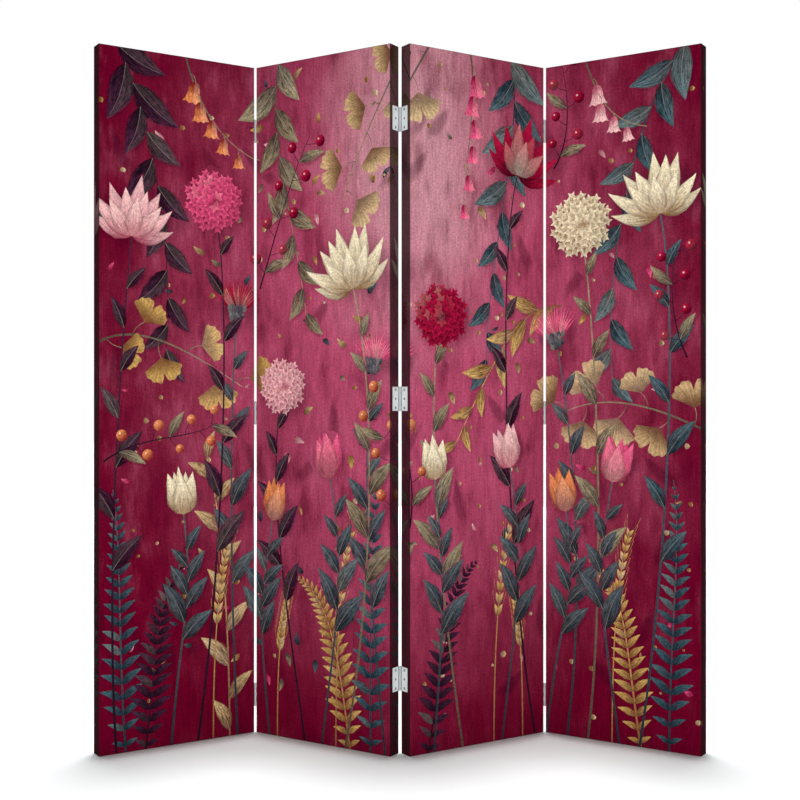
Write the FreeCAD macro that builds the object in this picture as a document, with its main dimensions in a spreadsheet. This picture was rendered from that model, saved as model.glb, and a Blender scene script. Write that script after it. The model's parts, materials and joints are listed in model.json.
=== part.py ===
import FreeCAD, Part
import os
import Sketcher
from FreeCAD import Vector

# Folding screen: four panels that stand in a zigzag, joined by butt hinges at three folds.
# A panel is a frame of wooden bars with a printed canvas wrapped round it and a lining on its back.
# Each panel is drawn in a frame of its own: X runs across it from its left edge, Y goes from its
# printed front to its back, and Z goes up from the floor. Its placement turns it into the zigzag.
# The folds beside the outer panels are valleys, hinged at the front. The middle fold is a ridge,
# hinged at the back.

doc = FreeCAD.newDocument("folding_screen")

# Driving sizes, in millimetres and degrees
SIZES = [
    ("panel_width", 360, "panel across its wrapped edges"),
    ("panel_height", 1500, "panel from the floor to its top"),
    ("fold_half_angle", 32.5, "turn of each panel out of the flat, at rest"),
    ("bar_depth", 32, "wooden bars, front to back"),
    ("stile_width", 40, "upright bars, across the panel"),
    ("rail_width", 40, "top and bottom bars, up the panel"),
    ("brace_width", 36, "middle bar, up the panel"),
    ("brace_setback", 4, "middle bar behind the front of the others"),
    ("bead_width", 8, "raised bead that holds the canvas off the bars"),
    ("bead_relief", 2, "step of the bars behind that bead"),
    ("arris_radius", 1.5, "rounding of the bars' outer edges"),
    ("tenon_length", 16, "tenons at the ends of the cross bars"),
    ("tenon_thickness", 10, "tenons, front to back"),
    ("tenon_shoulder", 7, "cross bar left above and below its tenon"),
    ("tenon_clearance", 0.1, "room round a tenon in its mortise"),
    ("tenon_end_gap", 0.5, "room beyond a tenon's end"),
    ("canvas_thickness", 0.6, "printed canvas"),
    ("canvas_return", 28, "canvas folded onto the back of the bars"),
    ("canvas_edge_radius", 1.2, "outer rounding of the wrapped edges"),
    ("lining_thickness", 0.5, "lining of the back"),
    ("lining_inset", 5, "lining short of the panel's edges"),
    ("staple_crown", 11, "staple across its legs"),
    ("staple_wire", 0.6, "thickness of a staple"),
    ("staple_width", 1, "width of the staple's wire"),
    ("staple_leg", 6.5, "staple's legs below its crown"),
    ("staple_pitch", 75, "spacing aimed at along the lining's hem"),
    ("staple_inset", 12, "line of staples from the panel's edges"),
    ("hinge_height", 51, "hinge leaves, up the panel"),
    ("leaf_reach", 25.5, "leaf from the pin's axis to its free edge"),
    ("leaf_thickness", 1.2, "leaf, and the wall of its knuckles"),
    ("leaf_corner_radius", 1, "free corners of a leaf"),
    ("knuckle_gap", 0.2, "gap between neighbouring knuckles"),
    ("notch_clearance", 0.3, "room round the other leaf's knuckles"),
    ("pin_diameter", 2.4, "hinge pin"),
    ("pin_clearance", 0.05, "running clearance round the pin"),
    ("pin_head_diameter", 4, "heads at both ends of the pin"),
    ("pin_head_height", 0.9, "heads beyond the knuckles"),
    ("pin_head_chamfer", 0.4, "chamfer of the heads"),
    ("ridge_standoff", 1, "ridge pin's axis behind the panels"),
    ("valley_standoff", 0.6, "valley pins' axis in front of the panels"),
    ("ridge_hinge_low", 159, "floor to the middle of the ridge's lowest hinge"),
    ("ridge_hinge_drop", 154, "top to the middle of the ridge's highest hinge"),
    ("valley_hinge_low", 85, "floor to the middle of a valley's lowest hinge"),
    ("valley_hinge_drop", 143, "top to the middle of a valley's highest hinge"),
    ("screw_reach", 14.5, "pin's axis to the line of screws"),
    ("screw_end_margin", 6.5, "end screws from the ends of the leaf"),
    ("screw_diameter", 3.5, "shank of a hinge screw"),
    ("screw_head_diameter", 5.6, "countersunk head"),
    ("screw_length", 20, "screw from its head to its point"),
    ("screw_tip_length", 5, "point of the screw"),
    ("screw_clearance", 0.05, "room round the screw in leaf and bar"),
    ("screw_recess", 0.1, "head below the face of the leaf"),
    ("recess_length", 3, "cross recess in the head"),
    ("recess_width", 0.8, "slots of the cross recess"),
    ("recess_depth", 0.8, "depth of the cross recess"),
    ("pilot_end_gap", 1, "pilot hole beyond the screw's point"),
    ("canvas_hole_ease", 0.3, "canvas cut back round a screw"),
]
sheet = doc.addObject("Spreadsheet::Sheet", "sizes")
for row, (alias, number, note) in enumerate(SIZES, start=1):
    sheet.set(f"A{row}", note)
    sheet.set(f"B{row}", str(number))
    sheet.setAlias(f"B{row}", alias)
doc.recompute()

# Faces of a panel's layers, as expressions of the sizes
WOOD_LEFT = "sizes.canvas_thickness"
WOOD_RIGHT = "(sizes.panel_width - sizes.canvas_thickness)"
WOOD_BOTTOM = "sizes.canvas_thickness"
WOOD_TOP = "(sizes.panel_height - sizes.canvas_thickness)"
WOOD_FRONT = "sizes.canvas_thickness"
WOOD_BACK = "(sizes.canvas_thickness + sizes.bar_depth)"
CANVAS_BACK = "(sizes.bar_depth + 2 * sizes.canvas_thickness)"
PANEL_BACK = f"({CANVAS_BACK} + sizes.lining_thickness)"
STILE_INNER_LEFT = f"({WOOD_LEFT} + sizes.stile_width)"
STILE_INNER_RIGHT = f"({WOOD_RIGHT} - sizes.stile_width)"

# Hinge barrel: the leaf's wall round the bore for the pin
BORE_RADIUS = "(sizes.pin_diameter / 2 + sizes.pin_clearance)"
BARREL_RADIUS = f"({BORE_RADIUS} + sizes.leaf_thickness)"
HALF_HINGE = "(sizes.hinge_height / 2)"
KNUCKLES = 5
KNUCKLE_PITCH = f"((sizes.hinge_height + sizes.knuckle_gap) / {KNUCKLES})"

# Pin axes in a panel's frame, at its right or left end and beyond its front or back
AXIS_X = {"right": f"(sizes.panel_width + {BARREL_RADIUS})", "left": f"(-{BARREL_RADIUS})"}
AXIS_Y = {"ridge": f"({PANEL_BACK} + sizes.ridge_standoff)", "valley": "(-sizes.valley_standoff)"}

# Folds from left to right: the kind of fold, and the panels on its left and on its right
FOLDS = {"left": ("valley", 1, 2), "middle": ("ridge", 2, 3), "right": ("valley", 3, 4)}
LEVELS = ("low", "middle", "high")


def shift(x, y, z, turn="rotationz(0)"):
    """A placement, as an expression."""
    return f"placement(vector({x}; {y}; {z}); {turn})"


def value(expression):
    """The number that an expression of the sizes comes to."""
    return float(sheet.evalExpression(expression))


# Panels 2 and 3 hang on the ridge's axis, and panels 1 and 4 on the valleys' axes.
# The ridge's axis is set so that the screen's depth is centred on the origin.
TURN = "sizes.fold_half_angle"
NEAREST = f"(sizes.panel_width * sin({TURN}) + {CANVAS_BACK} * cos({TURN})) / 2"
RIDGE_Y = f"({AXIS_Y['ridge']} * cos({TURN}) - {BARREL_RADIUS} * sin({TURN}) - {NEAREST})"
PLACES = {}
PLACES[2] = " * ".join([
    shift(0, RIDGE_Y, 0, f"rotationz(-{TURN})"),
    shift(f"-{AXIS_X['right']}", f"-{AXIS_Y['ridge']}", 0),
])
PLACES[3] = " * ".join([
    shift(0, RIDGE_Y, 0, f"rotationz({TURN})"),
    shift(f"-{AXIS_X['left']}", f"-{AXIS_Y['ridge']}", 0),
])
PLACES[1] = " * ".join([
    PLACES[2],
    shift(AXIS_X["left"], AXIS_Y["valley"], 0, f"rotationz(2 * {TURN})"),
    shift(f"-{AXIS_X['right']}", f"-{AXIS_Y['valley']}", 0),
])
PLACES[4] = " * ".join([
    PLACES[3],
    shift(AXIS_X["right"], AXIS_Y["valley"], 0, f"rotationz(-2 * {TURN})"),
    shift(f"-{AXIS_X['left']}", f"-{AXIS_Y['valley']}", 0),
])

pieces = []


def new_body(label, place):
    """An empty body of the document that is handed out as one piece."""
    body = doc.addObject("PartDesign::Body", label)
    body.Label = label
    body.setExpression("Placement", place)
    pieces.append(body)
    return body


def sketch_at(body, plane, level):
    """A sketch parallel to one of the body's own planes, at a level along X, Y or Z."""
    sketch = body.newObject("Sketcher::SketchObject", "sketch")
    support = next(item for item in body.Origin.OriginFeatures if item.Role == plane)
    sketch.AttachmentSupport = (support, [""])
    sketch.MapMode = "FlatFace"
    sign = "-" if plane == "XZ_Plane" else ""
    sketch.setExpression("AttachmentOffset.Base.z", f"{sign}({level})")
    return sketch


def bind(sketch, geometry, point, x, y):
    """Hold a point of the sketch at two expressions of the sizes."""
    for kind, expression in (("DistanceX", x), ("DistanceY", y)):
        held = Sketcher.Constraint(kind, -1, 1, geometry, point, value(expression))
        index = sketch.addConstraint(held)
        sketch.setExpression(f"Constraints[{index}]", expression)


def add_outline(sketch, points):
    """A closed outline of straight lines through points given as expressions."""
    corners = [Vector(value(x), value(y), 0) for x, y in points]
    first = sketch.GeometryCount
    count = len(points)
    for start, end in zip(corners, corners[1:] + corners[:1]):
        sketch.addGeometry(Part.LineSegment(start, end), False)
    for line in range(count):
        following = first + (line + 1) % count
        sketch.addConstraint(Sketcher.Constraint("Coincident", first + line, 2, following, 1))
    for line, (x, y) in enumerate(points):
        bind(sketch, first + line, 1, x, y)


def add_rectangle(sketch, left, right, low, high):
    """A rectangle between four expressions."""
    add_outline(sketch, [(left, low), (right, low), (right, high), (left, high)])


def add_circle(sketch, x, y, radius):
    """A circle whose centre and radius are expressions."""
    centre = Vector(value(x), value(y), 0)
    circle = sketch.addGeometry(Part.Circle(centre, Vector(0, 0, 1), value(radius)), False)
    bind(sketch, circle, 3, x, y)
    index = sketch.addConstraint(Sketcher.Constraint("Radius", circle, value(radius)))
    sketch.setExpression(f"Constraints[{index}]", radius)


def between(body, kind, plane, low, high, rectangles=(), circles=(), outlines=()):
    """A Pad or Pocket of the drawn shapes from one level to another across the plane."""
    starts_low = (plane != "XZ_Plane") == (kind == "Pad")
    sketch = sketch_at(body, plane, low if starts_low else high)
    for rectangle in rectangles:
        add_rectangle(sketch, *rectangle)
    for circle in circles:
        add_circle(sketch, *circle)
    for outline in outlines:
        add_outline(sketch, outline)
    doc.recompute()
    before = 0 if body.Shape.isNull() else body.Shape.Volume
    feature = body.newObject(f"PartDesign::{kind}", kind.lower())
    feature.Profile = sketch
    feature.setExpression("Length", f"{high} - ({low})")
    doc.recompute()
    if (body.Shape.Volume > before) != (kind == "Pad"):
        raise RuntimeError(f"{body.Label}: a {kind} changed nothing")
    return feature


def revolve(body, points):
    """A solid of revolution round the body's Z axis, from an outline in its XZ plane."""
    sketch = sketch_at(body, "XZ_Plane", "0")
    add_outline(sketch, points)
    doc.recompute()
    feature = body.newObject("PartDesign::Revolution", "revolution")
    feature.Profile = sketch
    feature.ReferenceAxis = (sketch, ["V_Axis"])
    feature.Angle = 360
    doc.recompute()


def round_edges(body, base, radius, chosen):
    """Round those edges of a body that pass a test."""
    names = [f"Edge{number}" for number, edge in enumerate(base.Shape.Edges, start=1) if chosen(edge)]
    fillet = body.newObject("PartDesign::Fillet", "rounding")
    fillet.Base = (base, names)
    fillet.setExpression("Radius", radius)
    doc.recompute()


def runs_along(edge, axis):
    """Whether an edge is straight along X, Y or Z, given as 0, 1 or 2."""
    reach = edge.Vertexes[-1].Point[axis] - edge.Vertexes[0].Point[axis]
    return abs(abs(reach) - edge.Length) < 1e-6


def near(number, expression):
    """Whether a coordinate lies on the level that an expression gives."""
    return abs(number - value(expression)) < 1e-6


def hinge_heights(kind):
    """Heights of the middles of a fold's three hinges."""
    low = f"sizes.{kind}_hinge_low"
    span = f"(sizes.panel_height - sizes.{kind}_hinge_drop - {low})"
    return [f"({low} + {step} * {span} / 2)" for step in range(len(LEVELS))]


def screw_heights():
    """Heights of the three screws of a leaf from its middle."""
    return [f"({step} * ({HALF_HINGE} - sizes.screw_end_margin))" for step in (-1, 0, 1)]


def screw_places(kind):
    """Y and Z, in a panel's frame, of all the screws at one of its folds."""
    across = f"({AXIS_Y[kind]} + sizes.screw_reach)"
    if kind == "ridge":
        across = f"({AXIS_Y[kind]} - sizes.screw_reach)"
    return [(across, f"({hinge} + {screw})") for hinge in hinge_heights(kind) for screw in screw_heights()]


# Wooden bars
TENON_FRONT = f"({WOOD_FRONT} + sizes.bar_depth / 2 - sizes.tenon_thickness / 2)"
TENON_BACK = f"({WOOD_FRONT} + sizes.bar_depth / 2 + sizes.tenon_thickness / 2)"
BRACE_LOW = "(sizes.panel_height / 2 - sizes.brace_width / 2)"
BRACE_HIGH = "(sizes.panel_height / 2 + sizes.brace_width / 2)"
CROSS_BARS = {
    "bottom_rail": (WOOD_BOTTOM, f"({WOOD_BOTTOM} + sizes.rail_width)"),
    "middle_rail": (BRACE_LOW, BRACE_HIGH),
    "top_rail": (f"({WOOD_TOP} - sizes.rail_width)", WOOD_TOP),
}
PILOT_DEPTH = ("(sizes.screw_length - sizes.leaf_thickness + sizes.screw_recess"
               " - sizes.canvas_thickness + sizes.pilot_end_gap)")


def add_stile(panel, side, fold_kind):
    """An upright bar, with mortises for the cross bars and pilot holes for the hinge screws."""
    body = new_body(f"panel_{panel}_{side}_stile", PLACES[panel])
    if side == "left":
        outer, left, right = WOOD_LEFT, WOOD_LEFT, STILE_INNER_LEFT
        relief = (f"({WOOD_LEFT} + sizes.bead_width)", STILE_INNER_LEFT)
        mortise = (f"({STILE_INNER_LEFT} - sizes.tenon_length - sizes.tenon_end_gap)", STILE_INNER_LEFT)
        pilot = (WOOD_LEFT, f"({WOOD_LEFT} + {PILOT_DEPTH})")
    else:
        outer, left, right = WOOD_RIGHT, STILE_INNER_RIGHT, WOOD_RIGHT
        relief = (STILE_INNER_RIGHT, f"({WOOD_RIGHT} - sizes.bead_width)")
        mortise = (STILE_INNER_RIGHT, f"({STILE_INNER_RIGHT} + sizes.tenon_length + sizes.tenon_end_gap)")
        pilot = (f"({WOOD_RIGHT} - {PILOT_DEPTH})", WOOD_RIGHT)
    bar = between(body, "Pad", "XY_Plane", WOOD_BOTTOM, WOOD_TOP,
                  rectangles=[(left, right, WOOD_FRONT, WOOD_BACK)])
    round_edges(body, bar, "sizes.arris_radius",
                lambda edge: runs_along(edge, 2) and near(edge.Vertexes[0].X, outer))
    between(body, "Pocket", "XZ_Plane", WOOD_FRONT, f"({WOOD_FRONT} + sizes.bead_relief)", rectangles=[
        (*relief, f"({WOOD_BOTTOM} + sizes.bead_width)", f"({WOOD_TOP} - sizes.bead_width)")])
    room = "sizes.tenon_clearance"
    between(body, "Pocket", "YZ_Plane", *mortise, rectangles=[
        (f"({TENON_FRONT} - {room})", f"({TENON_BACK} + {room})",
         f"({low} + sizes.tenon_shoulder - {room})", f"({high} - sizes.tenon_shoulder + {room})")
        for low, high in CROSS_BARS.values()])
    if fold_kind:
        between(body, "Pocket", "YZ_Plane", *pilot, circles=[
            (y, z, "(sizes.screw_diameter / 2 + sizes.screw_clearance)")
            for y, z in screw_places(fold_kind)])


def add_cross_bar(panel, name):
    """A bar between the stiles, with a tenon at each end."""
    low, high = CROSS_BARS[name]
    body = new_body(f"panel_{panel}_{name}", PLACES[panel])
    front = WOOD_FRONT
    if name == "middle_rail":
        front = f"({WOOD_FRONT} + sizes.brace_setback)"
    bar = between(body, "Pad", "YZ_Plane", STILE_INNER_LEFT, STILE_INNER_RIGHT,
                  rectangles=[(front, WOOD_BACK, low, high)])
    if name != "middle_rail":
        outer, relief = low, (f"({low} + sizes.bead_width)", high)
        if name == "top_rail":
            outer, relief = high, (low, f"({high} - sizes.bead_width)")
        round_edges(body, bar, "sizes.arris_radius",
                    lambda edge: runs_along(edge, 0) and near(edge.Vertexes[0].Z, outer))
        between(body, "Pocket", "XZ_Plane", WOOD_FRONT, f"({WOOD_FRONT} + sizes.bead_relief)",
                rectangles=[(STILE_INNER_LEFT, STILE_INNER_RIGHT, *relief)])
    between(body, "Pad", "YZ_Plane", f"({STILE_INNER_LEFT} - sizes.tenon_length)",
            f"({STILE_INNER_RIGHT} + sizes.tenon_length)", rectangles=[
                (TENON_FRONT, TENON_BACK, f"({low} + sizes.tenon_shoulder)",
                 f"({high} - sizes.tenon_shoulder)")])


# Printed canvas, wrapped round the bars and folded onto their backs
def add_canvas(panel, fold_kinds):
    """A panel's canvas, open at the back inside its folded hem, with holes for the hinge screws."""
    body = new_body(f"panel_{panel}_printed_canvas", PLACES[panel])
    block = between(body, "Pad", "XZ_Plane", "0", CANVAS_BACK,
                    rectangles=[("0", "sizes.panel_width", "0", "sizes.panel_height")])
    round_edges(body, block, "sizes.canvas_edge_radius", lambda edge: True)
    between(body, "Pocket", "XZ_Plane", WOOD_FRONT, WOOD_BACK,
            rectangles=[(WOOD_LEFT, WOOD_RIGHT, WOOD_BOTTOM, WOOD_TOP)])
    hem = "sizes.canvas_return"
    between(body, "Pocket", "XZ_Plane", WOOD_BACK, CANVAS_BACK,
            rectangles=[(hem, f"(sizes.panel_width - {hem})", hem, f"(sizes.panel_height - {hem})")])
    walls = {"left": ("0", WOOD_LEFT), "right": (WOOD_RIGHT, "sizes.panel_width")}
    for side, fold_kind in fold_kinds.items():
        if fold_kind:
            between(body, "Pocket", "YZ_Plane", *walls[side], circles=[
                (y, z, "(sizes.screw_diameter / 2 + sizes.canvas_hole_ease)")
                for y, z in screw_places(fold_kind)])


def add_lining(panel):
    """The plain cloth that closes the panel's back."""
    body = new_body(f"panel_{panel}_back_lining", PLACES[panel])
    inset = "sizes.lining_inset"
    between(body, "Pad", "XZ_Plane", CANVAS_BACK, PANEL_BACK, rectangles=[
        (inset, f"(sizes.panel_width - {inset})", inset, f"(sizes.panel_height - {inset})")])


# Hinge leaves: X runs from the pin's axis to the free edge, Y points at the panel's edge
def add_leaf(label, place, knuckles):
    """A leaf with the knuckles of the given numbers, counted from its lower end."""
    body = new_body(label, place)
    ends = (f"(-{HALF_HINGE})", HALF_HINGE)
    between(body, "Pad", "XY_Plane", *ends, circles=[("0", "0", BARREL_RADIUS)])
    plate = between(body, "Pad", "XY_Plane", *ends,
                    rectangles=[("0", "sizes.leaf_reach", BORE_RADIUS, BARREL_RADIUS)])
    round_edges(body, plate, "sizes.leaf_corner_radius",
                lambda edge: runs_along(edge, 1) and near(edge.Vertexes[0].X, "sizes.leaf_reach"))
    between(body, "Pocket", "XY_Plane", *ends, circles=[("0", "0", BORE_RADIUS)])
    notches = []
    for number in range(KNUCKLES):
        if number not in knuckles:
            notches.append((
                f"(-2 * {BARREL_RADIUS})", f"({BARREL_RADIUS} + sizes.notch_clearance)",
                f"(-{HALF_HINGE} + {number} * {KNUCKLE_PITCH} - sizes.knuckle_gap)",
                f"(-{HALF_HINGE} + {number + 1} * {KNUCKLE_PITCH})"))
    between(body, "Pocket", "XZ_Plane", f"(-2 * {BARREL_RADIUS})", f"(2 * {BARREL_RADIUS})", rectangles=notches)
    sketch = sketch_at(body, "XZ_Plane", BORE_RADIUS)
    hole_radius = "(sizes.screw_diameter / 2 + sizes.screw_clearance)"
    for height in screw_heights():
        add_circle(sketch, "sizes.screw_reach", height, hole_radius)
    doc.recompute()
    hole = body.newObject("PartDesign::Hole", "screw_holes")
    hole.Profile = sketch
    hole.ThreadType = "None"
    hole.DepthType = "ThroughAll"
    hole.HoleCutType = "Countersink"
    hole.HoleCutCustomValues = True
    hole.HoleCutCountersinkAngle = 90
    hole.setExpression("Diameter", f"2 * {hole_radius}")
    hole.setExpression("HoleCutDiameter", "sizes.screw_head_diameter + 2 * sizes.screw_recess"
                                          " + 2 * sizes.screw_clearance")
    doc.recompute()


# Small parts that repeat: each is drawn once and linked into the groups
def master(name):
    """A body that the groups link to."""
    return doc.addObject("PartDesign::Body", name)


pin = master("hinge_pin")
pin_half = []
for height, radius in (
        ("0", "(sizes.pin_diameter / 2)"),
        (HALF_HINGE, "(sizes.pin_diameter / 2)"),
        (HALF_HINGE, "(sizes.pin_head_diameter / 2)"),
        (f"({HALF_HINGE} + sizes.pin_head_height - sizes.pin_head_chamfer)", "(sizes.pin_head_diameter / 2)"),
        (f"({HALF_HINGE} + sizes.pin_head_height)",
         "(sizes.pin_head_diameter / 2 - sizes.pin_head_chamfer)"),
        (f"({HALF_HINGE} + sizes.pin_head_height)", "0")):
    pin_half.append((radius, height))
pin_lower = [(radius, f"(-{height})") for radius, height in reversed(pin_half[1:])]
revolve(pin, pin_lower + pin_half[1:])

screw = master("hinge_screw")
HEAD_RADIUS = "(sizes.screw_head_diameter / 2)"
SHANK_RADIUS = "(sizes.screw_diameter / 2)"
revolve(screw, [
    ("0", "0"),
    (HEAD_RADIUS, "0"),
    (SHANK_RADIUS, f"({SHANK_RADIUS} - {HEAD_RADIUS})"),
    (SHANK_RADIUS, "(sizes.screw_tip_length - sizes.screw_length)"),
    ("0", "(-sizes.screw_length)"),
])
for length, width in (("sizes.recess_length", "sizes.recess_width"), ("sizes.recess_width", "sizes.recess_length")):
    between(screw, "Pocket", "XY_Plane", "(-sizes.recess_depth)", "0", rectangles=[
        (f"(-{length} / 2)", f"({length} / 2)", f"(-{width} / 2)", f"({width} / 2)")])

staple = master("staple")
HALF_CROWN = "(sizes.staple_crown / 2)"
INSIDE_LEG = f"({HALF_CROWN} - sizes.staple_wire)"
between(staple, "Pad", "XY_Plane", "(-sizes.staple_width / 2)", "(sizes.staple_width / 2)", outlines=[[
    (f"(-{HALF_CROWN})", "sizes.staple_wire"),
    (f"(-{HALF_CROWN})", "(-sizes.staple_leg)"),
    (f"(-{INSIDE_LEG})", "(-sizes.staple_leg)"),
    (f"(-{INSIDE_LEG})", "0"),
    (INSIDE_LEG, "0"),
    (INSIDE_LEG, "(-sizes.staple_leg)"),
    (HALF_CROWN, "(-sizes.staple_leg)"),
    (HALF_CROWN, "sizes.staple_wire"),
]])


def add_group(label, place, small_part, places):
    """One piece that holds a copy of a small part at each of its places."""
    links = []
    for number, inner_place in enumerate(places, start=1):
        link = doc.addObject("App::Link", f"{label}_{number}")
        link.LinkedObject = small_part
        link.setExpression("Placement", inner_place)
        links.append(link)
    group = doc.addObject("Part::Compound", label)
    group.Label = label
    group.Links = links
    group.setExpression("Placement", place)
    pieces.append(group)


def add_staples(panel):
    """Staples along the four sides of the lining's hem."""
    inset = "sizes.staple_inset"
    places = []
    for along, far, turn in (("panel_height", "panel_width", "rotationy(90)"),
                             ("panel_width", "panel_height", "rotationy(0)")):
        run = f"(sizes.{along} - 2 * {inset})"
        count = round(value(run) / value("sizes.staple_pitch"))
        for side in (inset, f"(sizes.{far} - {inset})"):
            for number in range(count):
                step = f"({inset} + {number + 0.5} * {run} / {count})"
                x, z = (side, step) if along == "panel_height" else (step, side)
                places.append(shift(x, PANEL_BACK, z, turn))
    add_group(f"panel_{panel}_staples", PLACES[panel], staple, places)


def add_screws(panel, fold_kinds):
    """The hinge screws driven into a panel's edges."""
    heads = {
        "left": ("(sizes.screw_recess - sizes.leaf_thickness)", "rotationy(-90)"),
        "right": ("(sizes.panel_width + sizes.leaf_thickness - sizes.screw_recess)", "rotationy(90)"),
    }
    places = []
    for side, fold_kind in fold_kinds.items():
        if fold_kind:
            x, turn = heads[side]
            places += [shift(x, y, z, turn) for y, z in screw_places(fold_kind)]
    add_group(f"panel_{panel}_hinge_screws", PLACES[panel], screw, places)


# Panels
for panel in PLACES:
    fold_kinds = {"left": None, "right": None}
    for kind, left_panel, right_panel in FOLDS.values():
        if panel == left_panel:
            fold_kinds["right"] = kind
        if panel == right_panel:
            fold_kinds["left"] = kind
    for side in ("left", "right"):
        add_stile(panel, side, fold_kinds[side])
    for name in CROSS_BARS:
        add_cross_bar(panel, name)
    add_canvas(panel, fold_kinds)
    add_lining(panel)
    add_staples(panel)
    add_screws(panel, fold_kinds)

# Hinges: three leaves with three knuckles on the left of each fold, three with two on its right
LEAF_TURNS = {
    ("ridge", "right"): "rotationz(-90) * rotationx(180)",
    ("ridge", "left"): "rotationz(-90)",
    ("valley", "right"): "rotationz(90)",
    ("valley", "left"): "rotationz(90) * rotationx(180)",
}
LEAF_KINDS = {"right": ("three_knuckle_leaf", (0, 2, 4)), "left": ("two_knuckle_leaf", (1, 3))}
for fold, (kind, left_panel, right_panel) in FOLDS.items():
    for panel, side in ((left_panel, "right"), (right_panel, "left")):
        leaf_name, knuckles = LEAF_KINDS[side]
        for level, height in zip(LEVELS, hinge_heights(kind)):
            seat = shift(AXIS_X[side], AXIS_Y[kind], height, LEAF_TURNS[kind, side])
            add_leaf(f"{fold}_hinge_{level}_{leaf_name}", f"{PLACES[panel]} * {seat}", knuckles)
    pin_places = [shift(AXIS_X["right"], AXIS_Y[kind], height) for height in hinge_heights(kind)]
    add_group(f"{fold}_hinge_pins", PLACES[left_panel], pin, pin_places)

# Check every object, then write one file for each piece
doc.recompute()
for item in doc.Objects:
    if "Invalid" in item.State or "Error" in item.State:
        raise RuntimeError(f"{item.Name} could not be built")
os.makedirs("parts", exist_ok=True)
for piece in pieces:
    if piece.Shape.isNull() or not piece.Shape.isValid():
        raise RuntimeError(f"{piece.Label} has no valid shape")
    piece.Shape.exportStep(f"parts/{piece.Label}.step")
    print(f"{piece.Label}: {len(piece.Shape.Solids)} solids, {piece.Shape.Volume:.0f} mm3")
whole = Part.makeCompound([piece.Shape for piece in pieces]).BoundBox
print(f"{len(pieces)} pieces, {whole.XLength:.1f} x {whole.YLength:.1f} x {whole.ZLength:.1f} mm,"
      f" centre {whole.Center.x:.3f} {whole.Center.y:.3f}, lowest {whole.ZMin:.3f}")
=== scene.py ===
# %% [markdown]
# # A folding screen of printed canvas
# This lesson dresses a folding screen: four tall panels that stand in a zigzag on a pale floor.
# The wooden bars, hinges, pins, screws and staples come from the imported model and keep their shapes.
# What is soft on the real screen, the printed canvas and the lining on the back, is made here as cloth.

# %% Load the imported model
import json
import math
import bpy
import numpy as np
from mathutils import Matrix, Vector
from mathutils.geometry import delaunay_2d_cdt, interpolate_bezier


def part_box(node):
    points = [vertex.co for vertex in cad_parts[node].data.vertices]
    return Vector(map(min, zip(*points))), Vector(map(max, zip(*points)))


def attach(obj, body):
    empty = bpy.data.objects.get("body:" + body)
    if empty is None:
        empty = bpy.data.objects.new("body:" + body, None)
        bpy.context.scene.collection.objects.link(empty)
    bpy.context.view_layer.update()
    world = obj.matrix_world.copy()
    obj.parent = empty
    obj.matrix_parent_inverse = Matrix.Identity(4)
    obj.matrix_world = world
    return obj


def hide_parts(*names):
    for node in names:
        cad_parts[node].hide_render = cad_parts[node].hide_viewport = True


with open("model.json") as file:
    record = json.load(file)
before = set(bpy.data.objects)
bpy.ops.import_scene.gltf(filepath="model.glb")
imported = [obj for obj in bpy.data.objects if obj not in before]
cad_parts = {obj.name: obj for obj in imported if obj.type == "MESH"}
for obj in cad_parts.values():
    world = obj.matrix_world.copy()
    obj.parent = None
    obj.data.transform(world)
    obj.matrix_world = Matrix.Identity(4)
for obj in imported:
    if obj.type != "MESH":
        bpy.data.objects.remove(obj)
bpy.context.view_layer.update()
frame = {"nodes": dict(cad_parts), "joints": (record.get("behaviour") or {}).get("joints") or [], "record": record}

# %% [markdown]
# ## Where the panels stand
# Every panel is drawn flat first, with X across it, Y from its printed front to its back and Z up.
# It could be modelled where it stands, but flat sizes are easier to read, and all four panels share them.
# A panel hangs on a hinge axis, so turning it about that axis and moving it there puts it in the zigzag.
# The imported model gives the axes, so the cloth lands exactly on the frame.

# %% Sizes of a panel in metres, and its place
PANEL_WIDTH = 0.360
PANEL_HEIGHT = 1.500
# From the print to the back of the hem, and to the back of the lining that lies on it.
PANEL_DEPTH = 0.0332
LINING_BACK = 0.0337
# The barrel of a hinge, and how far its axis lies in front of the print at the left and right folds.
BARREL_RADIUS = 0.00245
AXIS_STANDOFF = 0.0006
TURN = math.radians(32.5)

axes = {joint["name"]: Vector(joint["pos_m"]) for joint in frame["joints"]}
# The fold that places each panel, the panel's turn, and where across the panel the axis is.
PANEL_AXES = {
    1: ("left_fold", TURN, PANEL_WIDTH + BARREL_RADIUS),
    2: ("left_fold", -TURN, -BARREL_RADIUS),
    3: ("right_fold", TURN, PANEL_WIDTH + BARREL_RADIUS),
    4: ("right_fold", -TURN, -BARREL_RADIUS),
}
panel_places = {}
for panel, (fold, turn, axis_x) in PANEL_AXES.items():
    to_axis = Matrix.Translation((-axis_x, AXIS_STANDOFF, 0))
    panel_places[panel] = Matrix.Translation(axes[fold]) @ Matrix.Rotation(turn, 4, "Z") @ to_axis
    low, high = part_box(f"panel_{panel}_printed_canvas")
    middle = panel_places[panel] @ Vector((PANEL_WIDTH / 2, PANEL_DEPTH / 2, PANEL_HEIGHT / 2))
    print(f"panel {panel}: off its solid by {((low + high) / 2 - middle).length * 1000:.3f} mm")

# %% [markdown]
# ## Camera
# The screen was seen straight on, at half its height and from about 2.7 m, with a normal lens.
# Standing at half height keeps all upright edges upright, as they are in a picture of a room divider.
# A camera farther off would need a longer lens and would flatten the slopes of the zigzag.

# %% Camera at half height in front of the screen
CAMERA_DISTANCE = 2.7075
SENSOR_WIDTH = 36
LENS = 55.6

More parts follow.
